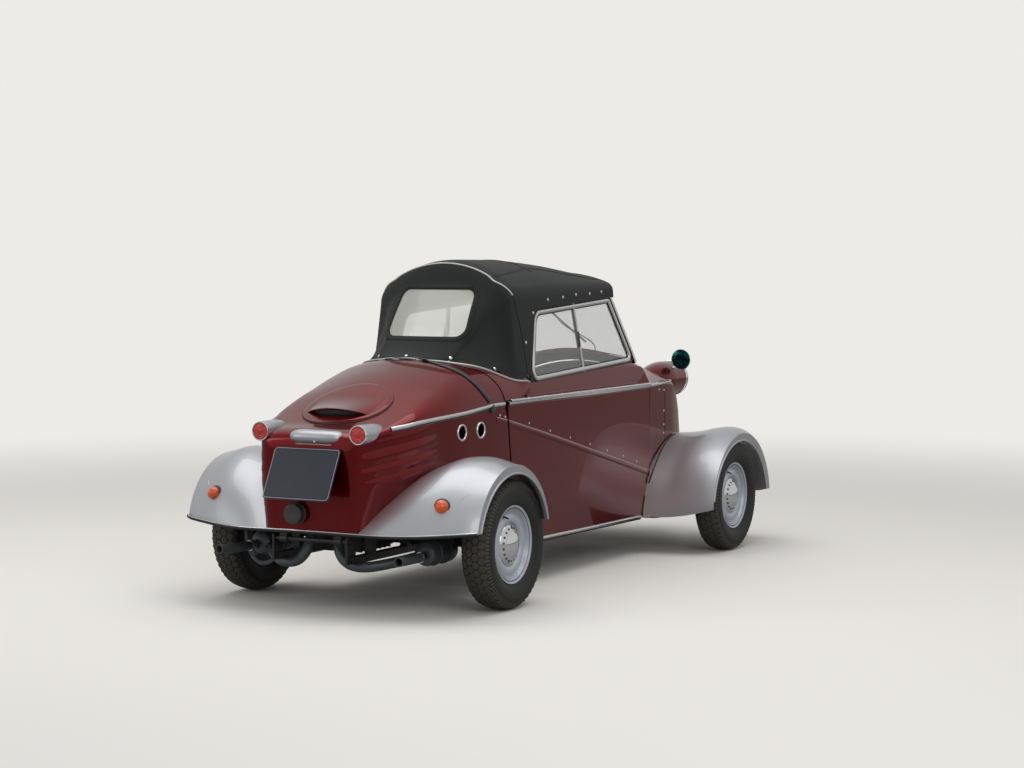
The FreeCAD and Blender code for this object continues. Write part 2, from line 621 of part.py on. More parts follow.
# The indicators' feet follow the wing, a strip of it either side of them.
strip = [row_between(rear_wing_rows[4], rear_wing_rows[5], x) for x in (425, 505)]
lamp = Part.makeCylinder(27, 40, Vector(-466, rear_y + 330, 390), Vector(-0.25, 1, 0.25))
lamp = lamp.cut(wing_fill(strip, -1, rear_y))
keep("rear_indicators", free_shape("rear_indicators", Part.makeCompound([lamp, mirrored(lamp)])))

plate_lamp = Part.makeBox(220, 50, 52, Vector(-128, rear_y + 410, 594))
plate_lamp = plate_lamp.makeFillet(18, [edge for edge in plate_lamp.Edges
                                        if edge.BoundBox.ZLength < 1 and edge.BoundBox.ZMin > 600])
keep("plate_lamp", free_shape("plate_lamp", plate_lamp.cut(tail_outer)))

holder = prism([(rear_y + 444 + gap, 560), (rear_y + 459, 560), (rear_y + 515, 440),
                (rear_y + 444 + gap, 430)],
               -20, 20)
plate = prism([(rear_y + 446, 582), (rear_y + 450, 583), (rear_y + 536, 411), (rear_y + 532, 409)],
              -134, 134)
plate = plate.makeFillet(12, [edge for edge in plate.Edges if edge.Length < 6])
keep("number_plate", free_shape("number_plate", plate.fuse(holder)))

socket = Part.makeCylinder(38, 28, Vector(50, rear_y + 444 + gap, 354), Vector(0, 1, 0))
keep("trailer_socket", free_shape("trailer_socket", socket))


# ---- canopy -----------------------------------------------------------------------------------

canopy_front = tub_front + panel
join_y = rear_y - 591
canopy_rows = [
    # station, foot half width, foot height, half width, spring, top, crown radius
    (canopy_front, half - 1, belt + panel, half - 1, 716, 812, 640),
    (canopy_front + 76, half - 1, belt + panel, half - 4, 780, 860, 700),
    (canopy_front + 380, half - 1, belt + panel, half - 5, 782, 900, 700),
    (join_y, half - 1, belt + panel, half - 4, 752, 892, 700),
]
front_shell = body_loft(canopy_rows, 0, 14)
rear_shell_rows = [row for row in tail_rows if row[0] < 100]
rear_shell_rows[0] = (join_y - rear_y,) + tuple(canopy_rows[-1][1:])
rear_shell = body_loft(rear_shell_rows, rear_y, 14)
lower_cut = Part.makeBox(800, 3000, belt + panel, Vector(-400, -1500, 0))
# Window base, side on: falls gently to the rear, then climbs over the hump under the hood.
base_front, base_rear, base_end = (canopy_front + 60, 806), (join_y, 764), (rear_y - 232, 857)
glasshouse = [base_front, base_rear, base_end, (base_end[0], 1400), (base_front[0], 1400)]
window_room = prism(glasshouse, -700, 700)
shell = front_shell.fuse(rear_shell)
shell = shell.cut(lower_cut).common(canopy_side).cut(window_room)
keep("canopy_frame", free_shape("canopy_frame", shell))

# Side windows lie in a plane that leans in from the belt.
lean = math.degrees(math.atan2(36, 280))
window_base = Vector(-321, 0, 784)


def window_outline(grow):
    """Frame outline in its own plane, (y, height), grown outwards."""
    corners = [(-558 - 1.6 * grow, 22 - grow), (354 + 1.3 * grow, -18 - grow),
               (279 + 1.1 * grow, 254 + grow), (-394 - 0.7 * grow, 290 + grow)]
    return rounded(corners, [18, 40 + grow, 70 + grow, 12])


def window_prism(outline, deep_from, deep_to):
    shape = prism([(y, z) for y, z in outline], deep_from, deep_to)
    shape.Placement = FreeCAD.Placement(window_base, FreeCAD.Rotation(Vector(0, 1, 0), lean))
    return shape


def pane_outlines(rim):
    """Both panes of one side, a rim inside the frame and half a rim from the divider."""
    foot, head, bar = -98, -66, rim / 2
    front_pane = [(-558 + 1.9 * rim, 21 + rim * 0.9), (foot - bar, 1.5 + rim),
                  (head - bar, 272.5 - rim), (-394 + 0.9 * rim, 290 - rim)]
    rear_pane = [(foot + bar, 1 + rim), (354 - 1.3 * rim, -18 + rim),
                 (279 - 1.1 * rim, 254 - rim), (head + bar, 272 - rim)]
    return rounded(front_pane, [10, 3, 3, 10]), rounded(rear_pane, [3, 26, 52, 3])


rim = size("frame_width")
depth = size("frame_depth")
panes = []
frame = window_prism(window_outline(0), 0, depth)
for outline in pane_outlines(rim):
    frame = frame.cut(window_prism(outline, -5, depth + 5))
    panes.append(window_prism(outline, depth / 2 - 2, depth / 2 + 2))
keep("window_frames", free_shape("window_frames", Part.makeCompound([frame, mirrored(frame)])))
keep("side_windows", free_shape("side_windows", Part.makeCompound(panes + [mirrored(p) for p in panes])))

# ---- hood -------------------------------------------------------------------------------------

hood_rows = [
    # station from the rear axle, foot half width, foot height, half width, spring, top, crown
    (-1456, 322, 800, 288, 1090, 1168, 880),
    (-1300, 322, 790, 288, 1088, 1186, 680),
    (-1117, 322, 780, 290, 1084, 1208, 505),
    (-800, 322, 770, 292, 1076, 1226, 436),
    (-580, 322, 750, 288, 1066, 1228, 398),
    (-500, 320, 750, 281, 1056, 1212, 409),
    (-466, 318, 750, 236, 1022, 1136, 500),
    (-420, 312, 750, 206, 990, 1072, 480),
    (-380, 328, 750, 190, 935, 1015, 460),
    (-340, 336, 750, 172, 905, 960, 440),
    (-290, 330, 750, 165, 868, 912, 400),
    (-245, 290, 750, 130, 848, 882, 380),
    (-204, 200, 750, 60, 840, 866, 240),
]
cloth = size("hood_wall")
hood = body_loft(hood_rows, rear_y, cloth)
# Everything below and ahead of the side frames is window; the hood starts at their edge.
frame_line = window_outline(gap)
rear_side = frame_line[7:-7]
opening = [(-900, -300), (rear_side[0][0], -300)] + rear_side + [(-394, 290 + gap), (-900, 290 + gap)]
hood = hood.cut(window_prism(opening, -60, 100)).cut(mirrored(window_prism(opening, -60, 100)))
# Its last strip lies on the canopy's skin behind the opening.
hood_end, hood_rest = rear_y - 212, 868
hood_room = [(base_front[0], 1400), (base_front[0], base_front[1] + gap),
             (base_rear[0], base_rear[1] + gap), (base_end[0], base_end[1] + gap),
             (base_end[0], hood_rest), (hood_end, hood_rest), (hood_end, 1400)]
hood = hood.common(prism(hood_room, -400, 400))
# Seen from above, the hood's front edge bows forward over the windscreen.
brow = Part.Arc(Vector(-300, -418, 700), Vector(0, -492, 700), Vector(300, -418, 700)).toShape()
brow_ends = [Vector(300, -418, 700), Vector(300, -900, 700), Vector(-300, -900, 700),
             Vector(-300, -418, 700)]
ahead_of_hood = Part.Face(Part.Wire([brow, Part.makePolygon(brow_ends)])).extrude(Vector(0, 0, 700))
hood = hood.cut(ahead_of_hood)
back_hole = Part.makeBox(316, 330, 170, Vector(-158, rear_y - 480, 944))
back_hole = back_hole.makeFillet(30, [edge for edge in back_hole.Edges if edge.BoundBox.YLength > 300])
hood = hood.cut(back_hole)
keep("soft_top", free_shape("soft_top", hood))
pane_rows = [(y, a - 3, b, c - 3, d, e - 3, f - 3) for y, a, b, c, d, e, f in hood_rows]
pane = body_loft(pane_rows, rear_y, 4).common(back_hole)
keep("rear_window", free_shape("rear_window", pane))

# ---- windscreen -------------------------------------------------------------------------------

def bow(end, middle):
    """A bowed line between (-x, y, z) and (x, y, z) through a point (y, z) on the centre plane."""
    return Part.Arc(Vector(-end[0], end[1], end[2]), Vector(0, *middle), Vector(*end)).toShape()


screen_low = bow((306, -590, 806), (-655, 832.5))
screen_high = bow((272, -424, 1068), (-482, 1156))
glass = size("glass")
screen = Part.makeRuledSurface(screen_low, screen_high).extrude(Vector(0, glass * 1.4, 0)).cut(shell)
keep("windscreen", free_shape("windscreen", screen))

# ---- seats, engine, steering, exhaust ---------------------------------------------------------

def cushion(name, x_half, y_from, y_to, z_from, z_to, soft):
    solid = Part.makeBox(2 * x_half, y_to - y_from, z_to - z_from, Vector(-x_half, y_from, z_from))
    return solid.makeFillet(soft, solid.Edges)


seat_half = size("seat_width") / 2
for label, front, back in (("driver_seat", -330, 60), ("rear_seat", 190, 470)):
    base = cushion("base", seat_half, front, back, floor_top + 90, floor_top + 210, 30)
    rest = cushion("rest", seat_half, back - 60, back + 40, floor_top + 180, 800, 30)
    foot = Part.makeBox(2 * seat_half - 100, back - front - 100, 120,
                        Vector(-seat_half + 50, front + 50, floor_top + gap))
    keep(label, free_shape(label, base.fuse(rest).fuse(foot)))

keep("engine", block("engine", 380, 420, 300, -190,
                     "Sizes.front_axle_y + Sizes.wheelbase - 110", 262))

# Two rails under the engine, from the cabin's rear wall to the tail hinge.
rear_axle_at = "Sizes.front_axle_y + Sizes.wheelbase"
rail_low = "Sizes.tyre_radius - 46"
rail_height = "46 - Sizes.beam_radius - Sizes.fit_gap"
frame_parts = []
for side_name, side in (("left", 1), ("right", -1)):
    rail_x = side * 150 - 15
    frame_parts.append(block(f"rail_{side_name}", 30, "Sizes.tail_hinge_y - Sizes.tub_rear + 18",
                             rail_height, rail_x, "Sizes.tub_rear - 28 + Sizes.fit_gap",
                             rail_low))
    frame_parts.append(block(f"hinge_plate_{side_name}", 8, 56,
                             "Sizes.tail_hinge_z + 60 - Sizes.tyre_radius",
                             rail_x + 11, "Sizes.tail_hinge_y - 42", rail_low))
    for spot, behind_axle in (("front", 20), ("rear", 270)):
        start = 30 if spot == "front" else behind_axle
        frame_parts.append(block(f"engine_mount_{spot}_{side_name}", 30, 30,
                                 "262 + 46 - Sizes.fit_gap - Sizes.tyre_radius", rail_x,
                                 f"{rear_axle_at} + {start}", rail_low))
frame_parts.append(rod("tail_pin", "Sizes.tail_pin", 320, -160, "Sizes.tail_hinge_y",
                       "Sizes.tail_hinge_z"))
frame_solid = joined("rear_frame_solid", frame_parts)
keep("rear_frame", frame_solid)

leaves = []
for side_name, start in (("left", 96), ("right", -126)):
    barrel = rod(f"tail_barrel_{side_name}", "Sizes.tail_pin + 6", 30, start,
                 "Sizes.tail_hinge_y", "Sizes.tail_hinge_z")
    leaf = block(f"tail_leaf_{side_name}", 30, f"{rear_axle_at} + 444 - Sizes.skin"
                 " - Sizes.fit_gap - Sizes.tail_hinge_y", 70, start, "Sizes.tail_hinge_y",
                 "Sizes.tail_hinge_z")
    leaves += [barrel, leaf]
bore = rod("tail_barrel_bore", "Sizes.tail_pin + 0.3", 400, -200, "Sizes.tail_hinge_y",
           "Sizes.tail_hinge_z")
keep("tail_hinges", carved("tail_hinges", joined("tail_hinge_solid", leaves), bore))

# The canopy's hinge runs along the whole right belt: nine barrels on one pin, each with its leaf,
# by turns on the tub and on the canopy.
hinge_x = "-Sizes.body_half - Sizes.hinge_out"
hinge_z = "Sizes.belt_height + 3"
hinge_start, pitch, play = -684, 138, 1
fixed = [rod("hinge_pin", 3, 9 * pitch - play, hinge_x, hinge_start, hinge_z, "y")]
moving = []
for spot in range(9):
    start = hinge_start + spot * pitch
    barrel = rod(f"hinge_barrel_{spot}", 6, pitch - play, hinge_x, start, hinge_z, "y")
    if spot % 2 == 0:
        leaf = block(f"fixed_leaf_{spot}", "Sizes.hinge_out - Sizes.fit_gap", pitch - play, 20, hinge_x,
                     start, "Sizes.belt_height - 18")
        fixed += [barrel, leaf]
    else:
        leaf = block(f"moving_leaf_{spot}", "Sizes.hinge_out + 1 - Sizes.fit_gap", pitch - play, 14,
                     hinge_x, start, "Sizes.belt_height + 5")
        moving += [barrel, leaf]
keep("canopy_hinge_fixed", joined("canopy_hinge_fixed", fixed))
bore = rod("hinge_bore", 3.3, 9 * pitch, hinge_x, hinge_start, hinge_z, "y")
keep("canopy_hinge_moving", carved("canopy_hinge_moving", joined("moving_leaves", moving), bore))

# ---- exhaust ----------------------------------------------------------------------------------

pipes = []
for side in (1, -1):
    silencer = Part.makeCylinder(45, 190, Vector(side * 341, rear_y + 60, 212), Vector(0, 1, 0))
    silencer = silencer.makeFillet(12, silencer.Edges[:1] + silencer.Edges[2:3])
    tail_pipe = tube_along([Vector(side * 352, rear_y + 240, 206), Vector(side * 352, rear_y + 330, 206),
                            Vector(side * 370, rear_y + 470, 212)], 13, 60)
    header = tube_along([Vector(side * 60, rear_y + 310 + gap, 300), Vector(side * 60, rear_y + 356, 300),
                         Vector(side * 60, rear_y + 356, 164), Vector(side * 200, rear_y + 330, 164),
                         Vector(side * 330, rear_y + 190, 205)], 15, 26)
    pipes.append(silencer.fuse(tail_pipe).fuse(header))
keep("exhaust", free_shape("exhaust", Part.makeCompound(pipes)))

# ---- nose fittings ----------------------------------------------------------------------------

lamp_radius, lamp_z = size("lamp_radius"), size("lamp_height")
lamp_x, lamp_front = 203, front_y - 268
pods, lenses = [], []
for side in (1, -1):
    centre = Vector(side * lamp_x, lamp_front, lamp_z)
    side_line = [Part.makeLine(centre, centre + Vector(0, 0, lamp_radius)),
                 Part.makeLine(centre + Vector(0, 0, lamp_radius),
                               centre + Vector(0, 90, lamp_radius)),
                 Part.Arc(centre + Vector(0, 90, lamp_radius),
                          centre + Vector(0, 240, lamp_radius * 0.72),
                          centre + Vector(0, 350, 0)).toShape(),
                 Part.makeLine(centre + Vector(0, 350, 0), centre)]
    pod = Part.Face(Part.Wire(side_line)).revolve(centre, Vector(0, 1, 0), 360)
    pods.append(pod.cut(nose_outer))
    bowl = Part.makeSphere(lamp_radius * 1.6, centre + Vector(0, lamp_radius * 1.3, 0))
    disc = Part.makeCylinder(lamp_radius - 7, 40, centre + Vector(0, -gap, 0), Vector(0, -1, 0))
    lenses.append(disc.common(bowl).cut(nose_outer))
keep("headlamps", free_shape("headlamps", Part.makeCompound(pods)))
keep("headlamp_lenses", free_shape("headlamp_lenses", Part.makeCompound(lenses)))

mirror_at = Vector(-304, front_y - 140, 792)
mirror_back = Part.makeCylinder(45, 12, mirror_at - Vector(0, 12, 0), Vector(0, 1, 0))
mirror_back = mirror_back.makeFillet(8, [mirror_back.Edges[2]])
stalk_foot = Vector(-250, front_y - 160, lamp_z + 44)
stalk = Part.makeCylinder(5, (mirror_at - stalk_foot).Length - 20, stalk_foot,
                          mirror_at - stalk_foot)
stalk = stalk.cut(pods[1])
keep("mirror", free_shape("mirror", mirror_back.fuse(stalk)))

# ---- controls ---------------------------------------------------------------------------------

keep("dashboard", block("dashboard", "2 * (Sizes.body_half - Sizes.wall - Sizes.fit_gap)", 60, 90,
                        "-Sizes.body_half + Sizes.wall + Sizes.fit_gap", "Sizes.tub_front + 40",
                        "Sizes.belt_height - 100"))
column_foot = Vector(0, tub_front + 50, floor_top + gap)
column_head = Vector(0, tub_front + 250, 700)
along = (column_head - column_foot).normalize()
column = Part.makeCylinder(14, (column_head - column_foot).Length, column_foot, along)
column = column.cut(Part.makeBox(200, 400, 100, Vector(-100, tub_front - 100, floor_top - 100 + gap)))
foot = Part.makeBox(80, 80, 10, Vector(-40, tub_front + 14, floor_top + gap))
keep("steering_column", free_shape("steering_column", column.fuse(foot)))
hub = Part.makeCylinder(22, 30, column_head + along * gap, along)
bar_centre = column_head + along * 15
grip = tube_along([bar_centre + Vector(-190, 0, 0) + along * 60,
                   bar_centre + Vector(-150, 0, 0) + along * 10,
                   bar_centre + Vector(150, 0, 0) + along * 10,
                   bar_centre + Vector(190, 0, 0) + along * 60], 11, 20)
keep("steering_bar", free_shape("steering_bar", hub.fuse(grip)))

doc.recompute()
for thing in doc.Objects:
    faults = [state for state in thing.State if state in ("Invalid", "Error")]
    if faults:
        raise RuntimeError(f"{thing.Name} is not sound: {faults}")
    if hasattr(thing, "Shape") and thing.Shape.isNull() and thing in nodes:
        raise RuntimeError(f"{thing.Name} has no shape")
for node in nodes:
    if node.Shape.isNull() or not node.Shape.isValid():
        raise RuntimeError(f"{node.Label} has no valid shape")

os.makedirs("parts", exist_ok=True)
for node in nodes:
    node.Shape.exportStep(f"parts/{node.Label}.step")
    print(node.Label, len(node.Shape.Solids), round(node.Shape.Volume / 1e6, 3))
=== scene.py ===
import bpy
import bmesh
import json
import math
import numpy as np
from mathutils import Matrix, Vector
from mathutils.bvhtree import BVHTree


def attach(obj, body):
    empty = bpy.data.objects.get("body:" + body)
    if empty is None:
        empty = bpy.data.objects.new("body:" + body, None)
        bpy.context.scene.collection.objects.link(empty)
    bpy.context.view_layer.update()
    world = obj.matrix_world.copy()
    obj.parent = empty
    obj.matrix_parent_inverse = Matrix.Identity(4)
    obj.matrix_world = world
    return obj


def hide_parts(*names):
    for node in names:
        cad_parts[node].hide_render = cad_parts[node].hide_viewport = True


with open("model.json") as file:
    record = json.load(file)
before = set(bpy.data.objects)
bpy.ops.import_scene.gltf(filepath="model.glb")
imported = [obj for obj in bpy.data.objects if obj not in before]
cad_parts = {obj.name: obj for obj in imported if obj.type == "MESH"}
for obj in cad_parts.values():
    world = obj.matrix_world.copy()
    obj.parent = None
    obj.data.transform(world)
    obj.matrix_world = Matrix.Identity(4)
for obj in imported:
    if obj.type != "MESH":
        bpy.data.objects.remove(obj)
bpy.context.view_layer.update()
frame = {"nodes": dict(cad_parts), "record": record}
nodes = frame["nodes"]
scene = bpy.context.scene

# Stations are metres from an axle, on a car whose front points along -Y.
frontAxle = -0.928
rearAxle = 0.960
axleHeight = 0.231
sides = (("right", -1), ("left", 1))


# A number, colour or vector output that can be written into sums.
class Wire:
    def __init__(self, finish, socket):
        self.finish, self.socket = finish, socket

    def sum(self, operation, first, second):
        made = self.finish.node("ShaderNodeMath", {"operation": operation}, {0: first, 1: second})
        return Wire(self.finish, made.outputs[0])

    def __add__(self, other):
        return self.sum("ADD", self, other)

    def __radd__(self, other):
        return self.sum("ADD", other, self)

    def __sub__(self, other):
        return self.sum("SUBTRACT", self, other)

    def __rsub__(self, other):
        return self.sum("SUBTRACT", other, self)

    def __mul__(self, other):
        return self.sum("MULTIPLY", self, other)

    def __rmul__(self, other):
        return self.sum("MULTIPLY", other, self)

    def __truediv__(self, other):
        return self.sum("DIVIDE", self, other)

    def __pow__(self, other):
        return self.sum("POWER", self, other)


# One material: its nodes are made by node(), its shader's sockets set by set().
class Finish:
    def __init__(self, name):
        self.material = bpy.data.materials.new(name)
        self.material.use_nodes = True
        self.tree = self.material.node_tree
        self.shader = self.tree.nodes["Principled BSDF"]

    def node(self, kind, settings=None, inputs=None):
        made = self.tree.nodes.new(kind)
        for key, value in (settings or {}).items():
            setattr(made, key, value)
        for key, value in (inputs or {}).items():
            self.feed(made.inputs[key], value)
        return made

    def feed(self, socket, value):
        if isinstance(value, Wire):
            self.tree.links.new(value.socket, socket)
        elif isinstance(value, bpy.types.NodeSocket):
            self.tree.links.new(value, socket)
        elif socket.type == "RGBA" and len(value) == 3:
            socket.default_value = (*value, 1.0)
        else:
            socket.default_value = value

    def set(self, **values):
        for key, value in values.items():
            name = "".join(" " + c if c.isupper() else c for c in key).strip()
            name = name[0].upper() + name[1:]
            if name.endswith("Colour"):
                name = name[:-6] + "Color"
            self.feed(self.shader.inputs[name], value)
        return self

    def place(self):
        return self.node("ShaderNodeTexCoord").outputs["Object"]

    def noise(self, scale, detail=3.0, rough=0.5, place=None):
        made = self.node("ShaderNodeTexNoise", None, {
            "Vector": place or self.place(), "Scale": scale, "Detail": detail, "Roughness": rough})
        return Wire(self, made.outputs["Fac"])

    def mix(self, factor, first, second):
        made = self.node("ShaderNodeMix", {"data_type": "RGBA"}, {
            0: factor, 6: first, 7: second})
        return made.outputs[2]

    def bump(self, height, strength, distance):
        made = self.node("ShaderNodeBump", None, {
            "Height": height, "Strength": strength, "Distance": distance})
        self.feed(self.shader.inputs["Normal"], made.outputs["Normal"])
        return self


def linear(red, green, blue):
    return tuple(((c / 255 + 0.055) / 1.055) ** 2.4 if c > 10 else c / 255 / 12.92
                 for c in (red, green, blue))


# ---- finishes

def lacquer(name, colour, user):
    made = Finish(name)
    flake = made.noise(user["flakeScale"], 2.0, 0.6)
    drift = made.noise(user["driftScale"], 2.0, 0.5)
    tone = made.mix((flake * user["flakeTone"] + drift * user["driftTone"]).socket,
                    tuple(c * 0.8 for c in colour), tuple(min(1.0, c * 1.25) for c in colour))
    made.set(baseColour=tone, metallic=user["metallic"], coatWeight=1.0, coatRoughness=0.02,
             roughness=drift * 0.08 + user["roughness"])
    made.shader.inputs["Specular IOR Level"].default_value = user["shine"]
    made.shader.inputs["Coat IOR"].default_value = user["coatIor"]
    return made.bump(flake.socket, user["flakeBump"], 0.0004).material


def plain(name, colour, roughness, metallic=0.0, **more):
    made = Finish(name)
    wear = made.noise(38.0, 4.0, 0.6)
    tone = made.mix(wear.socket, tuple(c * 0.88 for c in colour),
                    tuple(min(1.0, c * 1.1) for c in colour))
    made.set(baseColour=tone, metallic=metallic, roughness=wear * 0.1 + (roughness - 0.05), **more)
    return made.material


paintSettings = {"flakeScale": 1400.0, "driftScale": 3.0, "flakeTone": 0.6, "driftTone": 0.4,
                 "metallic": 0.85, "roughness": 0.3, "flakeBump": 0.1,
                 "coatIor": 1.34, "shine": 0.1}
silverSettings = {"flakeScale": 1700.0, "driftScale": 4.0, "flakeTone": 0.5, "driftTone": 0.5,
                  "metallic": 0.78, "roughness": 0.4, "flakeBump": 0.14,
                  "coatIor": 1.4, "shine": 0.4}
redPaint = lacquer("burgundy lacquer", linear(110, 5, 13), paintSettings)
silverPaint = lacquer("silver lacquer", linear(180, 182, 187), silverSettings)
rimSilver = lacquer("wheel silver", linear(186, 192, 203),
                    {**silverSettings, "roughness": 0.4, "metallic": 0.35})
underPaint = plain("black underbody", (0.012, 0.012, 0.013), 0.5)
steelBlack = plain("chassis black", (0.015, 0.015, 0.016), 0.42)
chrome = plain("chrome", (0.82, 0.83, 0.85), 0.09, 1.0)
polished = plain("polished aluminium", (0.72, 0.72, 0.73), 0.2, 1.0)
rubber = plain("black rubber", (0.012, 0.012, 0.012), 0.55)
wornRubber = plain("worn tread", linear(74, 71, 66), 0.7)
greyRubber = plain("dark grey rubber", (0.045, 0.047, 0.05), 0.5)
darkPlastic = plain("dark grey moulding", (0.03, 0.035, 0.042), 0.42)
plateFace = plain("plate face", linear(42, 45, 56), 0.35)
plateRim = plain("plate edge", linear(150, 155, 165), 0.4)
exhaustPaint = plain("exhaust paint", linear(84, 90, 93), 0.42, 0.35)
castMetal = plain("cast metal", (0.08, 0.08, 0.08), 0.55, 0.6)
lining = plain("pale lining", linear(196, 192, 184), 0.85)
# Near-black for dark trim; the same black also paints shade, in the seam's shadow strip and across the
# scoop's mouth.
darkTrimAndShade = plain("dark trim", (0.02, 0.02, 0.021), 0.6)
threadDark = plain("dark thread", (0.02, 0.023, 0.023), 0.8)
piping = plain("silver piping", linear(190, 190, 188), 0.42, 0.5)


def clothFinish(name, dark, light, pitch):
    made = Finish(name)
    place = made.place()
    rows = made.node("ShaderNodeTexWave", {"bands_direction": "X"}, {
        "Vector": place, "Scale": pitch, "Distortion": 0.4, "Detail": 1.0})
    cross = made.node("ShaderNodeTexWave", {"bands_direction": "Z"}, {
        "Vector": place, "Scale": pitch, "Distortion": 0.4, "Detail": 1.0})
    weave = Wire(made, rows.outputs["Fac"]) * Wire(made, cross.outputs["Fac"])
    fuzz = made.noise(320.0, 5.0, 0.7)
    tone = made.mix((weave * 0.6 + fuzz * 0.4).socket, dark, light)
    made.set(baseColour=tone, roughness=0.92)
    made.shader.inputs["Sheen Weight"].default_value = 0.08
    return made.bump((weave + fuzz * 0.5).socket, 0.5, 0.0006).material


hoodCloth = clothFinish("black hood cloth", (0.004, 0.0052, 0.005), (0.017, 0.021, 0.0205), 260.0)
seatCloth = clothFinish("beige seat cloth", linear(150, 128, 96), linear(196, 176, 140), 180.0)


def clearFinish(name, tint, alpha, roughness):
    made = Finish(name)
    drift = made.noise(6.0)
    made.set(baseColour=tint, roughness=drift * 0.03 + roughness, alpha=alpha)
    made.shader.inputs["Specular IOR Level"].default_value = 0.6
    made.material.surface_render_method = "BLENDED"
    return made.material


windowGlass = clearFinish("clear glass", (0.75, 0.8, 0.8), 0.16, 0.02)
vinyl = clearFinish("clear vinyl", (0.7, 0.71, 0.66), 0.42, 0.08)


def lensFinish(name, deep, bright):
    made = Finish(name)
    ribs = made.node("ShaderNodeTexWave", {"bands_direction": "X"}, {
        "Vector": made.place(), "Scale": 120.0, "Distortion": 0.0})
    tone = made.mix(made.noise(30.0).socket, deep, bright)
    made.set(baseColour=tone, roughness=0.12, coatWeight=1.0)
    made.shader.inputs["Subsurface Weight"].default_value = 0.2
    return made.bump(ribs.outputs["Fac"], 0.35, 0.001).material


redLens = lensFinish("red lens", (0.4, 0.004, 0.003), (0.8, 0.02, 0.012))
amberLens = lensFinish("amber lens", (0.62, 0.05, 0.002), (0.88, 0.13, 0.006))
mirrorGlass = plain("dark mirror glass", (0.01, 0.09, 0.1), 0.05, 0.9)


# ---- shape helpers

def addMesh(name, points, faces, finish, sharp=(), smooth=True):
    mesh = bpy.data.meshes.new(name)
    mesh.from_pydata([tuple(map(float, p)) for p in points], [], faces)
    mesh.validate()
    made = bpy.data.objects.new(name, mesh)
    scene.collection.objects.link(made)
    mesh.materials.append(finish)
    if smooth:
        mesh.shade_smooth()
    return made


def outward(made):
    work = bmesh.new()
    work.from_mesh(made.data)
    bmesh.ops.remove_doubles(work, verts=work.verts, dist=1e-6)
    bmesh.ops.recalc_face_normals(work, faces=work.faces)
    work.to_mesh(made.data)
    work.free()
    return made


def settle(made):
    depsgraph = bpy.context.evaluated_depsgraph_get()
    done = bpy.data.meshes.new_from_object(made.evaluated_get(depsgraph))
    made.modifiers.clear()
    old = made.data
    made.data = done
    bpy.data.meshes.remove(old)
    return made


def crisp(made, degrees=32):
    work = bmesh.new()
    work.from_mesh(made.data)
    for edge in work.edges:
        edge.smooth = edge.calc_face_angle(0.0) < math.radians(degrees)
    for face in work.faces:
        face.smooth = True
    work.to_mesh(made.data)
    work.free()
    return made


def thicken(made, depth):
    outward(made)
    shell = made.modifiers.new("wall", "SOLIDIFY")
    shell.thickness, shell.offset, shell.use_even_offset = depth, -1.0, True
    return settle(made)


def cutBy(made, *tools, keepTools=False, operation="DIFFERENCE"):
    for tool in tools:
        trim = made.modifiers.new("trim", "BOOLEAN")
        trim.operation, trim.solver, trim.object = operation, "EXACT", tool
        settle(made)
    if not keepTools:
        for tool in tools:
            bpy.data.objects.remove(tool)
    return made


def gridMesh(name, rows, finish, closed=False, ends=False):
    count, across = len(rows), len(rows[0])
    points = [p for row in rows for p in row]
    faces = []
    for i in range(count - 1):
        for j in range(across if closed else across - 1):
            k = (j + 1) % across
            faces.append((i * across + j, i * across + k, (i + 1) * across + k, (i + 1) * across + j))
    if ends:
        faces.append(tuple(range(across))[::-1])
        faces.append(tuple((count - 1) * across + j for j in range(across)))
    return outward(addMesh(name, points, faces, finish))


# Values of a table between its rows, on curves that never overshoot.
def between(table, at):
    table = np.array(table, float)
    x, y = table[:, 0], table[:, 1:]
    step = np.diff(x)[:, None]
    slope = np.diff(y, axis=0) / step
    tangent = np.zeros_like(y)
    same = slope[:-1] * slope[1:] > 0
    first, second = step[:-1], step[1:]
    weightA, weightB = 2 * second + first, second + 2 * first
    with np.errstate(divide="ignore", invalid="ignore"):
        mean = (weightA + weightB) / (weightA / slope[:-1] + weightB / slope[1:])
    tangent[1:-1] = np.where(same, mean, 0)
    tangent[0], tangent[-1] = slope[0], slope[-1]
    at = np.clip(np.atleast_1d(np.array(at, float)), x[0], x[-1])
    i = np.clip(np.searchsorted(x, at, side="right") - 1, 0, len(x) - 2)
    width = step[i]
    t = ((at - x[i])[:, None]) / width
    return ((2 * t**3 - 3 * t**2 + 1) * y[i] + (t**3 - 2 * t**2 + t) * width * tangent[i]
            + (-2 * t**3 + 3 * t**2) * y[i + 1] + (t**3 - t**2) * width * tangent[i + 1])


# One side of an arched section from its foot to the crown: (x, z) points, always as many.
def halfArch(footHalf, foot, half, spring, top, crown, bulge=0.0, lowCount=10, count=26):
    rise = top - spring
    side = (half**2 + rise**2 - 2 * crown * rise) / (2 * half - 2 * crown)
    side = max(min(side, 0.97 * rise, 0.97 * half), 0.05 * rise)
    crown = (half**2 + rise**2 - 2 * half * side) / (2 * (rise - side))
    reach = half - side
    length = math.hypot(reach, crown - rise)
    touchX, touchZ = crown * reach / length, spring + rise - crown + crown * (crown - rise) / length
    turn = math.atan2(touchZ - spring, touchX - reach)
    points = []
    for i in range(lowCount):
        t = i / lowCount
        swell = bulge * math.sin(math.pi * t) * math.sin(math.pi * t)
        points.append((footHalf + (half - footHalf) * t + swell, foot + (spring - foot) * t))
    for i in range(count // 2):
        angle = turn * i / (count // 2)
        points.append((reach + side * math.cos(angle), spring + side * math.sin(angle)))
    rest = math.pi / 2 - turn
    for i in range(count // 2 + 1):
        angle = turn + rest * i / (count // 2)
        points.append((crown * math.cos(angle), spring + rise - crown + crown * math.sin(angle)))
    points[-1] = (0.0, top)
    return points


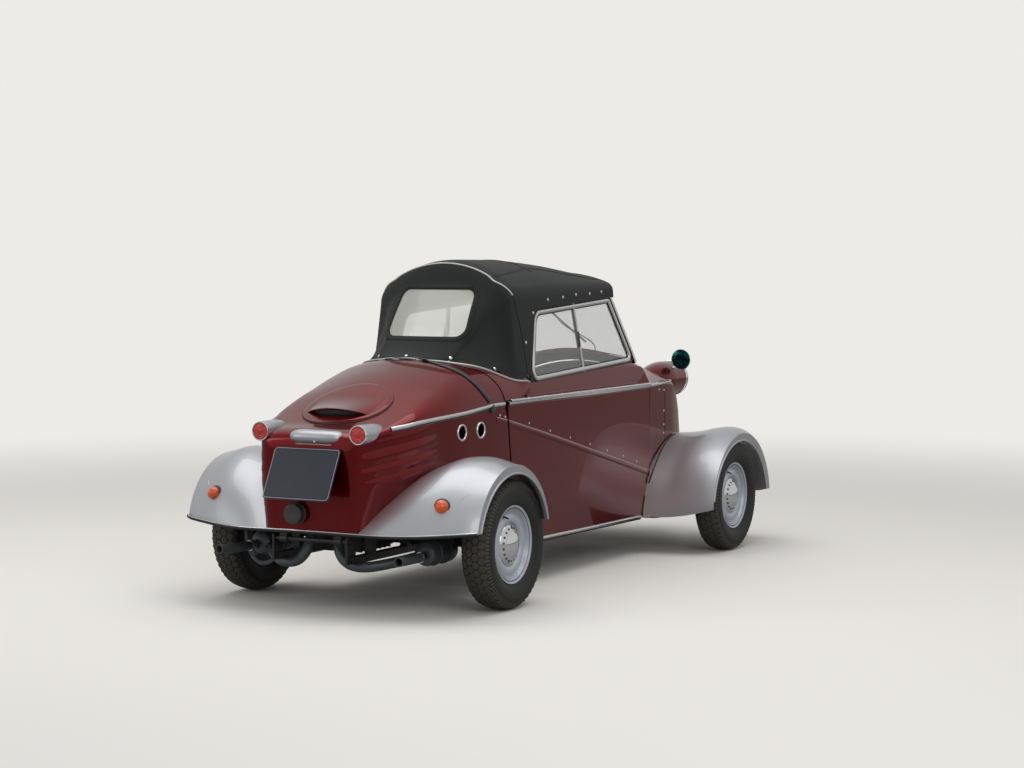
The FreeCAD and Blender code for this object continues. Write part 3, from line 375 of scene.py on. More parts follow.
def skinSection(y, values, *more):
    half = halfArch(*values, *more)
    right = [(x, y, z) for x, z in half]
    left = [(-x, y, z) for x, z in half[-2::-1]]
    return right + left


def inMetres(rows, start=0.0):
    return [(start + row[0] / 1000,) + tuple(v / 1000 for v in row[1:]) for row in rows]


def stationsOf(table, spacing):
    stations = [table[0][0]]
    for row in table[1:]:
        steps = max(1, round(abs(row[0] - stations[-1]) / spacing))
        start = stations[-1]
        stations += [start + (row[0] - start) * (i + 1) / steps for i in range(steps)]
    return stations


# A closed outline given twice, near and far, as a solid slab.
def slab(name, near, far, finish):
    count = len(near)
    faces = [tuple(range(count)), tuple(range(count, 2 * count))[::-1]]
    faces += [(i, (i + 1) % count, count + (i + 1) % count, count + i) for i in range(count)]
    return outward(addMesh(name, near + far, faces, finish or rubber, smooth=False))


# A flat outline pushed along one axis: (y, z) along x, (x, z) along y, (x, y) along z.
def prism(name, outline, axis, low, high, finish=None):
    at = {"x": lambda u, v, w: (w, u, v), "y": lambda u, v, w: (u, w, v),
          "z": lambda u, v, w: (u, v, w)}[axis]
    return slab(name, [at(u, v, low) for u, v in outline], [at(u, v, high) for u, v in outline], finish)


# Closed outline with an arc of the given radius at each corner.
def rounded(corners, bends, steps=6):
    line, count = [], len(corners)
    for index, bend in enumerate(bends):
        corner = Vector(corners[index])
        if bend == 0:
            line.append(tuple(corner))
            continue
        before = (Vector(corners[index - 1]) - corner).normalized()
        after = (Vector(corners[(index + 1) % count]) - corner).normalized()
        turn = math.pi - before.angle(after)
        inward = (before + after).normalized()
        centre = corner + inward * (bend / math.cos(turn / 2))
        across = (after - before).normalized()
        for step in range(steps + 1):
            share = turn * (step / steps - 0.5)
            line.append(tuple(centre + (across * math.sin(share) - inward * math.cos(share)) * bend))
    return line


# ---- body skins, in millimetres: station, foot half, foot, half, spring, top, crown radius

seam = [(536, 100), (536, 480), (560, 644), (586, 708), (606, 760), (640, 806), (770, 872), (1170, 1300)]
seamGaps = [9, 9, 9, 9, 9, 10.8, 15, 15]
noseRows = [
    (-568, 40, 356, 46, 410, 452, 90), (-545, 76, 318, 82, 420, 492, 180),
    (-490, 120, 282, 128, 440, 550, 300), (-380, 200, 222, 186, 500, 640, 420),
    (-210, 284, 182, 262, 560, 728, 560), (-100, 312, 168, 300, 630, 762, 600),
    (-10, 322, 158, 319, 690, 786, 630), (236, 326, 152, 330, 704, 797, 620),
]
tailRows = [
    (-607, 326, 300, 329, 712, 890, 760), (-490, 327, 300, 330, 707, 884, 770),
    (-380, 328, 300, 330, 704, 878, 780), (-290, 327, 300, 329, 698, 872, 800),
    (-205, 324, 300, 327, 690, 862, 820), (-100, 320, 300, 324, 680, 834, 850),
    (0, 312, 300, 318, 668, 800, 910), (95, 294, 298, 309, 658, 760, 1300),
    (190, 270, 295, 296, 648, 718, 1800), (270, 243, 292, 272, 639, 685, 2100),
    (346, 214, 289, 242, 630, 657, 2400), (400, 200, 287, 223, 620, 645, 2400),
    (425, 191, 287, 209, 612, 635, 2300), (438, 180, 288, 195, 602, 624, 2200),
    (444, 164, 292, 176, 588, 608, 2000),
]
canopyRows = [
    (-686, 329, 710, 329, 716, 812, 640), (-610, 329, 710, 326, 780, 860, 700),
    (-306, 329, 710, 325, 782, 900, 700), (369, 329, 710, 326, 752, 892, 700),
]
hoodRows = [
    (-1456, 322, 800, 288, 1090, 1168, 880), (-1300, 322, 790, 288, 1088, 1186, 680),
    (-1117, 322, 780, 290, 1084, 1208, 505), (-800, 322, 770, 292, 1076, 1226, 436),
    (-580, 322, 750, 288, 1066, 1228, 398), (-500, 320, 750, 281, 1056, 1212, 409),
    (-466, 318, 750, 236, 1022, 1136, 500), (-420, 312, 750, 206, 990, 1072, 480),
    (-380, 328, 750, 190, 935, 1015, 460), (-340, 336, 750, 172, 905, 960, 440),
    (-290, 330, 750, 165, 868, 912, 400), (-245, 290, 750, 130, 848, 882, 380),
    (-204, 200, 750, 60, 840, 866, 240),
]


def seamAt(z, gap=0.0):
    heights = [p[1] / 1000 for p in seam]
    places = [(p[0] + gap * g) / 1000 for p, g in zip(seam, seamGaps)]
    return float(np.interp(z, heights, places))


# A skin whose first or last station may follow a line seen from the side, y for each height.
def warpedSkin(name, table, begin, end, finish, count=60, floor=None, bulges=None, lowCount=10):
    swell = (lambda y: float(between([(a / 1000, b / 1000) for a, b in bulges], y)[0][0])) \
        if bulges else (lambda y: 0.0)

    def section(y):
        points = halfArch(*between(table, y)[0], swell(y), lowCount)
        if floor is not None:
            points = [(x, max(z, floor)) for x, z in points]
        return points

    def limit(line, column):
        if not callable(line):
            return line
        y = table[len(table) // 2][0]
        for turn in range(9):
            y = line(section(y)[column][1])
        return y

    columns = len(section(table[0][0]))
    starts = [limit(begin, c) for c in range(columns)]
    stops = [limit(end, c) for c in range(columns)]
    rows = []
    for i in range(count + 1):
        t = i / count
        half = []
        for c in range(columns):
            y = starts[c] + (stops[c] - starts[c]) * t
            x, z = section(y)[c]
            half.append((x, y, z))
        rows.append(half + [(-x, y, z) for x, y, z in half[-2::-1]])
    return rows


def circleThrough(first, top, last, count):
    (ay, az), (by, bz), (cy, cz) = first, top, last
    d = 2 * (ay * (bz - cz) + by * (cz - az) + cy * (az - bz))
    uy = ((ay**2 + az**2) * (bz - cz) + (by**2 + bz**2) * (cz - az) + (cy**2 + cz**2) * (az - bz)) / d
    uz = ((ay**2 + az**2) * (cy - by) + (by**2 + bz**2) * (ay - cy) + (cy**2 + cz**2) * (by - ay)) / d
    radius = math.hypot(ay - uy, az - uz)
    start = math.atan2(az - uz, ay - uy)
    stop = math.atan2(cz - uz, cy - uy)
    if start < 0:
        start += 2 * math.pi
    return [(uy + radius * math.cos(start + (stop - start) * i / count),
             uz + radius * math.sin(start + (stop - start) * i / count)) for i in range(count + 1)]


def wingSkin(name, groups, side, axle, finish, count=64, spacing=0.02):
    rows = []
    for group in groups:
        table = [(row[0] / 1000, *(v / 1000 for pair in row[1:] for v in pair)) for row in group]
        places = stationsOf(table, spacing)
        for x, v in zip(places, between(table, places)):
            line = circleThrough((v[0], v[1]), (v[2], v[3]), (v[4], v[5]), count)
            rows.append([(side * x, axle + y, z) for y, z in line])
    return gridMesh(name, rows, finish)


noseTable = inMetres(noseRows, frontAxle)
noseTable[-1] = (-0.692,) + noseTable[-1][1:]
noseSkinRows = warpedSkin("noseSkin", noseTable, -1.496, -0.692, redPaint, 50)
frontRow = [Vector(p) for p in noseSkinRows[0]]
frontFoot = (frontRow[0] + frontRow[-1]) / 2
noseCap = [[tuple(frontFoot.lerp(p, share)) for p in frontRow] for share in (0.02, 0.3, 0.6, 0.9)]
nose = gridMesh("noseSkin", noseCap + noseSkinRows, redPaint)
thicken(nose, 0.005)
crisp(nose, 40)
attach(nose, "chassis")
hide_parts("nose")

tailTable = inMetres(tailRows, rearAxle)
tailSkinRows = warpedSkin("tail", tailTable, lambda z: seamAt(z, 1.0), rearAxle + 0.444, redPaint, 90,
                          bulges=[(500, 0), (960, 0), (1180, 9), (1330, 12), (1404, 4)], lowCount=44)


# Pressed ribs and flutes run along the tail's flanks, from under the lamps towards the vents.
def flankPress(x, y, z):
    if not 1.04 < y < 1.403 or not 0.3 < z < 0.66:
        return x
    ridge = 0.505 + (1.348 - y) * 0.155
    fade = math.sin(math.pi * min(1.0, (y - 1.04) / 0.363)) ** 0.8
    push = sum(depth * math.exp(-((z - ridge - shift) / width) ** 2)
               for depth, shift, width in ((0.010, 0.0, 0.020), (-0.009, 0.045, 0.026),
                                           (-0.008, -0.042, 0.022), (0.004, 0.088, 0.018)))
    return x + math.copysign(push * fade, x) if abs(x) > 0.12 else x


tailSkinRows = [[(flankPress(*p), p[1], p[2]) for p in row] for row in tailSkinRows]
endRow = tailSkinRows[-1]
middle = Vector((0, rearAxle + 0.444, 0.2925))
for share in (0.9, 0.6, 0.3, 0.02):
    tailSkinRows.append([tuple(middle.lerp(Vector(p), share)) for p in endRow])
tail = gridMesh("tailCowlSkin", tailSkinRows, redPaint)
thicken(tail, 0.005)
ventPlaces = [(rearAxle - 0.062, 0.612), (rearAxle - 0.193, 0.612)]
for y, z in ventPlaces:
    cutBy(tail, prism("vent", [(y + 0.024 * math.cos(a / 16 * math.pi),
                                z + 0.024 * math.sin(a / 16 * math.pi))
                               for a in range(32)], "x", -0.5, 0.5))
crisp(tail, 40)
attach(tail, "tail")
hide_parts("tail_cowl")

canopyTable = inMetres(canopyRows) + [row for row in inMetres(tailRows, rearAxle) if row[0] > 0.4]
canopySkinRows = warpedSkin("canopy", canopyTable, -0.686, lambda z: seamAt(z, 0.0), redPaint, 110,
                            floor=0.710)
canopy = gridMesh("canopySkin", canopySkinRows, redPaint)
thicken(canopy, 0.012)
glasshouse = [(-0.626, 0.806), (0.369, 0.764), (0.728, 0.857), (0.728, 1.4), (-0.626, 1.4)]
cutBy(canopy, prism("glasshouse room", glasshouse, "x", -0.5, 0.5))
crisp(canopy, 40)
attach(canopy, "canopy")
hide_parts("canopy_frame")

frontWingGroups = [
    [(306, (-470, 205), (-40, 476), (312, 156)), (420, (-460, 205), (-20, 484), (306, 158)),
     (500, (-436, 206), (-4, 501), (300, 166)), (570, (-400, 214), (4, 510), (292, 180)),
     (610, (-370, 224), (8, 505), (287, 190)), (640, (-340, 232), (10, 490), (282, 198))],
    [(640, (-340, 232), (10, 490), (282, 198)), (640.5, (-300, 232), (10, 462), (274, 232))],
    [(640.5, (-300, 232), (10, 462), (274, 232)), (626, (-300, 232), (10, 462), (274, 232))],
]
rearWingGroups = [
    [(162, (-231, 300), (66, 388), (439, 289)), (250, (-234, 300), (40, 446), (438, 288)),
     (320, (-235, 300), (18, 490), (428, 288)), (385, (-236, 300), (20, 520), (412, 288)),
     (443, (-236, 300), (22, 537), (394, 289)), (490, (-236, 300), (24, 540), (376, 290)),
     (530, (-236, 300), (22, 532), (360, 293)), (566, (-234, 300), (16, 521), (346, 296)),
     (598, (-206, 304), (12, 513), (322, 303))],
    [(598, (-206, 304), (12, 513), (322, 303)), (598.5, (-194, 304), (44, 488), (300, 303))],
    [(598.5, (-194, 304), (44, 488), (300, 303)), (585, (-194, 304), (44, 488), (300, 303))],
]
for sideName, side in (("left", 1), ("right", -1)):
    for wing, groups, axle, body in (("front_wing_", frontWingGroups, frontAxle, "chassis"),
                                     ("rear_wing_", rearWingGroups, rearAxle, "tail")):
        made = wingSkin(wing + sideName + "_skin", groups, side, axle, silverPaint)
        thicken(made, 0.004)
        crisp(made, 34)
        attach(made, body)
        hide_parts(wing[:-1] + "s")

leanIn = math.atan2(36, 280)
windowSpot = Vector((-0.321, 0, 0.784))


# A point of a window's own plane, (y, height) and how far outside it, in the car; side -1 is right.
def onWindow(y, height, out=0.0, side=-1):
    x = windowSpot.x + height * math.sin(leanIn) - out * math.cos(leanIn)
    return Vector((-side * x, y, windowSpot.z + height * math.cos(leanIn) + out * math.sin(leanIn)))


def windowOutline(grow, steps=6):
    corners = [(-0.558 - 1.6 * grow, 0.022 - grow), (0.354 + 1.3 * grow, -0.018 - grow),
               (0.279 + 1.1 * grow, 0.254 + grow), (-0.394 - 0.7 * grow, 0.290 + grow)]
    return rounded(corners, [0.018, 0.04 + grow, 0.07 + grow, 0.012], steps)


def windowBlock(name, outline, low, high, side, finish=None):
    return slab(name, [onWindow(y, z, low, side) for y, z in outline],
                [onWindow(y, z, high, side) for y, z in outline], finish)


# Where the hood's hem lies on the body, seen from above: x on one side, y.
hemLine = [(0.326, 0.30), (0.3245, 0.37), (0.316, 0.487), (0.295, 0.574), (0.236, 0.664), (0.176, 0.712),
           (0.133, 0.733), (0.099, 0.746), (0.05, 0.756), (0, 0.759)]


def hoodShell(name, table, finish, depth):
    rows = warpedSkin(name, table, table[0][0], rearAxle - 0.204, finish, 110)
    return thicken(gridMesh(name, rows, finish), depth)


hoodTable = inMetres(hoodRows, rearAxle)
hood = hoodShell("hood", hoodTable, hoodCloth, 0.007)
frameLine = windowOutline(0.0006)[7:-7]
hoodOpening = [(-0.9, -0.3), (frameLine[0][0], -0.3), *frameLine, (-0.394, 0.2906), (-0.9, 0.2906)]
hoodRoom = [(-1.0, 1.4), (-1.0, 0.8066), (0.369, 0.7646), (0.55, 0.78), (0.80, 0.80), (0.80, 1.4)]
brow = [(0.3 * t / 12, -0.492 + 0.074 * (t / 12)**2) for t in range(-12, 13)]
bodyLump = gridMesh("body lump", [skinSection(y, values) for y, values in (
    (y, between([(row[0], row[1], row[2], *(v + 0.0012 for v in row[3:6]), row[6]) for row in canopyTable],
                y)[0])
    for y in np.linspace(0.36, 0.86, 60))], rubber, closed=True, ends=True)
cutBy(hood, windowBlock("opening", hoodOpening, -0.1, 0.06, 1),
      windowBlock("opening", hoodOpening, -0.1, 0.06, -1))
cutBy(hood, prism("hood room", hoodRoom, "x", -0.5, 0.5), operation="INTERSECT")
cutBy(hood, prism("brow", brow + [(0.5, -0.418), (0.5, -0.9), (-0.5, -0.9), (-0.5, -0.418)], "z", 0.7, 1.4),
      bodyLump)
hemPlan = hemLine[::-1] + [(0.345, 0.2), (0.5, 0.1), (0.5, -0.9)]
hemPlan = hemPlan + [(-x, y) for x, y in hemPlan[:0:-1]]
cutBy(hood, prism("hem", hemPlan, "z", 0.7, 1.4), operation="INTERSECT")
backHole = prism("back hole", rounded([(-0.166, 0.943), (0.166, 0.943), (0.153, 1.116), (-0.153, 1.116)],
                                      [0.032] * 4), "y", rearAxle - 0.48, rearAxle - 0.15)
cutBy(hood, backHole, keepTools=True)
crisp(hood, 40)
backTable = [(row[0], row[1] - 0.002, row[2], row[3] - 0.002, row[4], row[5] - 0.002, row[6] - 0.002)
             for row in hoodTable]
backPane = thicken(gridMesh("rearWindowSkin", warpedSkin("pane", backTable, rearAxle - 0.55, rearAxle - 0.25,
                                                         vinyl, 40), vinyl), 0.002)
cutBy(backPane, backHole, operation="INTERSECT")
crisp(backPane, 40)
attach(backPane, "canopy")
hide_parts("rear_window")


# ---- trim helpers

def smoothLine(points, spacing=0.01, closed=False):
    points = [Vector(p) for p in points]
    count = len(points)
    fine = []
    for i in range(count if closed else count - 1):
        b, c = points[i], points[(i + 1) % count]
        a = points[i - 1] if closed or i else b * 2 - c
        d = points[(i + 2) % count] if closed or i + 2 < count else c * 2 - b
        for step in range(10):
            t = step / 10
            fine.append(0.5 * (2 * b + (c - a) * t + (2 * a - 5 * b + 4 * c - d) * t**2
                               + (3 * b - a - 3 * c + d) * t**3))
    fine.append(points[0] if closed else points[-1])
    run = [0.0]
    for a, b in zip(fine, fine[1:]):
        run.append(run[-1] + (b - a).length)
    parts = max(2, round(run[-1] / spacing))
    places = np.interp(np.linspace(0, run[-1], parts + 1), run, range(len(run)))
    line = []
    for place in places:
        i = min(int(place), len(fine) - 2)
        line.append(fine[i].lerp(fine[i + 1], place - i))
    return line[:-1] if closed else line


def sweep(name, path, ups, profile, finish, closed=False):
    rows, count = [], len(path)
    for i, spot in enumerate(path):
        before = path[i - 1] if closed or i else spot
        after = path[(i + 1) % count] if closed or i + 1 < count else spot
        along = (after - before).normalized()
        up = Vector(ups[i] if isinstance(ups, list) else ups)
        up = (up - along * up.dot(along)).normalized()
        across = along.cross(up)
        rows.append([spot + across * u + up * v for u, v in profile])
    if closed:
        rows.append([p.copy() for p in rows[0]])
    return crisp(gridMesh(name, rows, finish, closed=True, ends=not closed), 50)


def domed(width, height, steps=8, sink=0.0006):
    arc = [(math.cos(math.pi * i / steps) * width / 2, math.sin(math.pi * i / steps) * height)
           for i in range(steps + 1)]
    return arc + [(-width / 2, -sink), (width / 2, -sink)]


def roundBar(radius, sides=12, lift=0.0):
    return [(math.cos(2 * math.pi * i / sides) * radius, math.sin(2 * math.pi * i / sides) * radius + lift)
            for i in range(sides)]


def flatStrip(width, height, edge=0.0006):
    return [(width / 2, 0), (width / 2, height - edge), (width / 2 - edge, height),
            (edge - width / 2, height), (-width / 2, height - edge), (-width / 2, 0)]


def treeOf(*items):
    points, faces = [], []
    for item in items:
        base = len(points)
        points += [item.matrix_world @ v.co for v in item.data.vertices]
        faces += [[base + i for i in face.vertices] for face in item.data.polygons]
    return BVHTree.FromPolygons(points, faces)


def calm(vectors, closed=False, rounds=3):
    for turn in range(rounds):
        vectors = [(vectors[i - 1] if i or closed else vectors[i]) * 0.25 + v * 0.5
                   + (vectors[(i + 1) % len(vectors)] if i + 1 < len(vectors) or closed else v) * 0.25
                   for i, v in enumerate(vectors)]
    return vectors


# A line laid on a skin: its points, and the skin's outward direction at each. With a core height
# the skin is met from outside, on the way to the car's middle at that height.
def layOn(tree, points, spacing=0.01, out=0.0, closed=False, core=None):
    line = smoothLine(points, spacing, closed)
    spots, ups = [], []
    for p in line:
        spot, up, face, distance = tree.find_nearest(p)
        if core is not None:
            middle = Vector((0, p.y, core))
            inward = (middle - p).normalized()
            hit = tree.ray_cast(p - inward * 0.08, inward)
            if hit[0] is not None and (hit[0] - p).length < 0.05:
                spot, up = hit[0], hit[1]
        spots.append(spot)
        ups.append(up)
    ups = [up.normalized() for up in calm(ups, closed)]
    spots = calm(spots, closed, 1) if closed else [spots[0]] + calm(spots, False, 1)[1:-1] + [spots[-1]]
    return [spot + up * out for spot, up in zip(spots, ups)], ups


def trim(name, tree, points, profile, finish, body, slot, spacing=0.01, out=0.0, closed=False, core=None):
    path, ups = layOn(tree, points, spacing, out, closed, core)
    made = sweep(name, path, ups, profile, finish, closed)
    return ridesOn(made, body, slot)


def ridesOn(made, body, slot, *replaced):
    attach(made, body)
    if replaced:
        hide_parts(*replaced)
    return made


def both(points):
    return [Vector((-p[0], p[1], p[2])) for p in points]


sidePoints = (("right", lambda line: line), ("left", both))


def mm(*points):
    return [Vector(p) / 1000 for p in points]


# A turned piece about a line: its profile is (along, radius) in millimetres.
def turned(name, profile, spot, axis, finish, count=48, degrees=32):
    loops = profile[-1][1] > 0
    if not loops and profile[0][1] > 0:
        profile = [(profile[0][0], 0)] + list(profile)
    axis = Vector(axis).normalized()
    side = axis.orthogonal().normalized()
    other = axis.cross(side)
    spot = Vector(spot)
    rows = []
    for i in range(count):
        angle = 2 * math.pi * i / count
        arm = side * math.cos(angle) + other * math.sin(angle)
        rows.append([spot + axis * a / 1000 + arm * max(r, 0.0001) / 1000 for a, r in profile])
    rows.append([p.copy() for p in rows[0]])
    return crisp(gridMesh(name, rows, finish, closed=loops), degrees)


# Heads set in rows: one head is copied to every spot, stood up along "facing", turned to "along".
def buildFixingRows():
    group = bpy.data.node_groups.new("fixing rows", "GeometryNodeTree")
    for label, direction, kind in (("Geometry", "INPUT", "NodeSocketGeometry"),
                                   ("Head", "INPUT", "NodeSocketObject"),
                                   ("Size", "INPUT", "NodeSocketFloat"),
                                   ("Size spread", "INPUT", "NodeSocketFloat"),
                                   ("Seed", "INPUT", "NodeSocketInt"),
                                   ("Finish", "INPUT", "NodeSocketMaterial"),
                                   ("Geometry", "OUTPUT", "NodeSocketGeometry")):
        group.interface.new_socket(label, in_out=direction, socket_type=kind)
    add = group.nodes.new
    entry, leave = add("NodeGroupInput"), add("NodeGroupOutput")
    facing, along = add("GeometryNodeInputNamedAttribute"), add("GeometryNodeInputNamedAttribute")
    for reader, label in ((facing, "facing"), (along, "along")):
        reader.data_type = "FLOAT_VECTOR"
        reader.inputs["Name"].default_value = label
    stand, turn = add("FunctionNodeAlignRotationToVector"), add("FunctionNodeAlignRotationToVector")
    stand.axis, turn.axis, turn.pivot_axis = "Z", "X", "Z"
    head, spread, most, least = add("GeometryNodeObjectInfo"), add("FunctionNodeRandomValue"), \
        add("ShaderNodeMath"), add("ShaderNodeMath")
    spread.data_type, most.operation, least.operation = "FLOAT", "ADD", "SUBTRACT"
    copies, real, coat = add("GeometryNodeInstanceOnPoints"), add("GeometryNodeRealizeInstances"), \
        add("GeometryNodeSetMaterial")
    join = group.links.new
    join(entry.outputs["Geometry"], copies.inputs["Points"])
    join(entry.outputs["Head"], head.inputs["Object"])
    join(head.outputs["Geometry"], copies.inputs["Instance"])
    join(facing.outputs["Attribute"], stand.inputs["Vector"])
    join(stand.outputs["Rotation"], turn.inputs["Rotation"])
    join(along.outputs["Attribute"], turn.inputs["Vector"])
    join(turn.outputs["Rotation"], copies.inputs["Rotation"])
    for bound in (most, least):
        join(entry.outputs["Size"], bound.inputs[0])
        join(entry.outputs["Size spread"], bound.inputs[1])
    numbers = [socket for socket in spread.inputs if socket.type == "VALUE"]
    join(least.outputs[0], numbers[0])
    join(most.outputs[0], numbers[1])
    join(entry.outputs["Seed"], spread.inputs["Seed"])
    join([socket for socket in spread.outputs if socket.type == "VALUE"][0], copies.inputs["Scale"])
    join(copies.outputs["Instances"], real.inputs["Geometry"])
    join(real.outputs["Geometry"], coat.inputs["Geometry"])
    join(entry.outputs["Finish"], coat.inputs["Material"])
    join(coat.outputs["Geometry"], leave.inputs["Geometry"])
    return group


fixingRows = buildFixingRows()
heads = []


def fixings(name, spots, facings, alongs, head, finish, body, slot, size=1.0, spread=0.0, seed=5):
    cloud = bpy.data.meshes.new(name)
    cloud.from_pydata([tuple(p) for p in spots], [], [])
    for label, vectors in (("facing", facings), ("along", alongs)):
        layer = cloud.attributes.new(label, "FLOAT_VECTOR", "POINT")
        layer.data.foreach_set("vector", [c for v in vectors for c in v])
    made = bpy.data.objects.new(name, cloud)
    scene.collection.objects.link(made)
    rows = made.modifiers.new("rows", "NODES")
    rows.node_group = fixingRows
    values = {"Head": head, "Size": size, "Size spread": spread, "Seed": seed, "Finish": finish}
    for socket in fixingRows.interface.items_tree:
        if socket.in_out == "INPUT" and socket.name in values:
            rows[socket.identifier] = values[socket.name]
    settle(made)
    for label in ("facing", "along"):
        if label in made.data.attributes:
            made.data.attributes.remove(made.data.attributes[label])
    if not made.data.materials:
        made.data.materials.append(finish)
    return ridesOn(crisp(made, 35), body, slot)


def asHead(made):
    made.location = (0, 0, 0)
    heads.append(made)
    return made


# Heads: a cross screw, a press stud, a stitch.
screwValues = {"radius": 4.4, "rise": 2.0, "slot": 0.9}


def screwHead(values):
    r, h = values["radius"], values["rise"]
    made = turned("screw head", [(-0.5, 0), (-0.5, r), (0.3, r), (h * 0.6, r * 0.78), (h * 0.92, r * 0.4),
                                 (h, 0)], (0, 0, 0), (0, 0, 1), chrome, 16)
    arm, wide = r * 0.62 / 1000, values["slot"] / 2000
    for outline in ([(-arm, -wide), (arm, -wide), (arm, wide), (-arm, wide)],
                    [(-wide, -arm), (wide, -arm), (wide, arm), (-wide, arm)]):
        cutBy(made, prism("cross", outline, "z", (h - 1.0) / 1000, 0.01))
    return asHead(made)


screw = screwHead(screwValues)
studValues = {"radius": 6.4, "rise": 3.4}
stud = asHead(turned("press stud", [(-0.4, 0), (-0.4, studValues["radius"]), (0.6, studValues["radius"]),
                                    (1.1, studValues["radius"] * 0.86), (1.3, studValues["radius"] * 0.8),
                                    (studValues["rise"] * 0.8, studValues["radius"] * 0.55),
                                    (studValues["rise"], 0)], (0, 0, 0), (0, 0, 1), chrome, 20))
stitch = asHead(turned("stitch", [(-2.3, 0), (-2.1, 0.35), (-1.2, 0.62), (0, 0.7), (1.2, 0.62), (2.1, 0.35),
                                  (2.3, 0)], (0, 0, 0), (1, 0, 0), lining, 6))


def rowAlong(path, ups, pitch, start=0.0):
    spots, facings, alongs = [], [], []
    run, want = 0.0, start
    for i in range(len(path) - 1):
        step = (path[i + 1] - path[i]).length
        while want <= run + step and step > 0:
            share = (want - run) / step
            spots.append(path[i].lerp(path[i + 1], share))
            facings.append(ups[i].lerp(ups[i + 1], share).normalized())
            alongs.append((path[i + 1] - path[i]).normalized())
            want += pitch
        run += step
    return spots, facings, alongs


# ---- wheels

wheelValues = {"outer": 230.7, "crown": 0.0044, "groove": 5.0, "pitches": 50, "columnStep": 22.6,
               "blockGap": 1.6, "sipe": 0.5, "capSlots": 18}


def tyreCrown(a):
    return wheelValues["outer"] - wheelValues["crown"] * a * a


# One pitch of the tread: a column of six-sided blocks for each rib, each cut by fine slits,
# and the bars that run down over the shoulders.
def treadPitch(values):
    points, faces = [], []
    full = values["columnStep"] / 0.75 / 2
    long = math.pi * values["outer"] / values["pitches"]

    def block(outline, low, high):
        base, count = len(points), len(outline)
        for level, grow in ((low, 1.0), (high, 0.0)):
            centreA = sum(p[0] for p in outline) / count
            centreT = sum(p[1] for p in outline) / count
            for a, t in outline:
                a, t = a + (a - centreA) * 0.06 * grow, t + (t - centreT) * 0.06 * grow
                radius, angle = level(a), t / values["outer"]
                points.append(Vector((a, radius * math.sin(angle), radius * math.cos(angle))) / 1000)
        faces.append(tuple(range(base + count, base + 2 * count)))
        faces.extend((base + i, base + (i + 1) % count, base + count + (i + 1) % count, base + count + i)
                     for i in range(count))

    for column in range(4):
        a0 = (column - 1.5) * values["columnStep"]
        t0 = long * 0.5 if column % 2 else -long * 0.5
        g = values["blockGap"]
        corners = [(full - g, 0), (full / 2 - g * 0.5, long - g), (-full / 2 + g * 0.5, long - g),
                   (-full + g, 0), (-full / 2 + g * 0.5, -long + g), (full / 2 - g * 0.5, -long + g)]
        for first in (0, 2, 4):
            piece = [Vector((0, 0))] + [Vector(corners[(first + k) % 6]) for k in range(3)]
            middle = sum(piece, Vector((0, 0))) / 4
            piece = [p + (middle - p).normalized() * values["sipe"] for p in piece]
            outline = [(a0 + p.x, t0 + p.y) for p in piece]
            block(outline, lambda a: tyreCrown(a) - values["groove"], tyreCrown)
    for side in (-1, 1):
        for share in (-0.5, 0.5):
            t = long * share
            bar = [(side * a, t + w) for a, w in ((46.5, -4.6), (53.6, -3.6), (53.6, 3.6), (46.5, 4.6))]
            level = lambda a: float(np.interp(abs(a), [46.0, 50.0, 54.0], [217.5, 211.5, 203.5]))
            block(bar, lambda a: level(a) - 2.0, lambda a: level(a) + 1.6)
    made = outward(addMesh("tread pitch", points, faces, rubber, smooth=False))
    return asHead(made)


treadHead = treadPitch(wheelValues)
tyreSide = [(37.7, 127.3), (37.7, 140), (41.5, 142.5), (43, 146), (46.5, 148.5), (47.5, 151), (51, 158),
            (54.3, 168), (55.8, 179), (55.6, 188), (56.0, 189.5), (55.4, 191), (54.8, 196), (55.0, 197.5),
            (54.0, 199.5), (52.4, 205), (49.6, 211), (46.0, 216.5), (42.5, 218.3), (34, 220.6), (20, 223.8),
            (8, 225.2)]
rimFace = [(-42, 123), (-42, 138.4), (-40, 139), (-38, 138), (-38, 127), (-20, 124), (-8, 116), (8, 116),
           (20, 124.5), (37.6, 127), (37.8, 138.2), (39.6, 139.3), (41.6, 138.6), (42, 136.5), (41.2, 133.6),
           (38.6, 130.6), (36, 129.4), (34.6, 126), (32.2, 123.4), (26.5, 122.0), (22.5, 119.6),
           (20.6, 116.4), (21.6, 113.2), (25.0, 110.4), (29.6, 104.5), (31.4, 97), (31.2, 88), (29.2, 82),
           (24.6, 77.6), (19.0, 75.4), (18.0, 60), (18, 20), (6, 20), (6, 72), (14, 84), (16, 96), (12, 110),
           (6, 112), (-6, 112), (-18, 120)]
capFace = [(18.2, 65), (18.6, 69.5), (20.4, 71.4), (23.0, 71.8), (24.8, 70.6), (26.4, 68.2), (27.4, 66.4),
           (30.2, 62.4), (35.4, 55.6), (38.0, 52.0), (38.6, 50.2), (38.4, 48.4), (39.6, 46.6), (43.4, 40),
           (46.8, 31.6), (49.4, 22), (51.2, 11), (51.8, 0), (49, 0), (44, 30), (36, 48), (24, 64)]
capSlot = asHead(turned("cap slot", [(-1.2, 0), (-1.2, 4.4), (0.5, 4.4), (0.7, 3.9), (0.2, 3.2), (-0.2, 0)],
                        (0, 0, 0), (0, 0, 1), darkTrimAndShade, 14))
valveCap = asHead(turned("valve", [(-3, 0), (-3, 4.2), (14, 3.6), (14.4, 3.0), (24, 3.0), (25, 2.2),
                                   (25.2, 0)], (0, 0, 0), (0, 0, 1), rubber, 12))
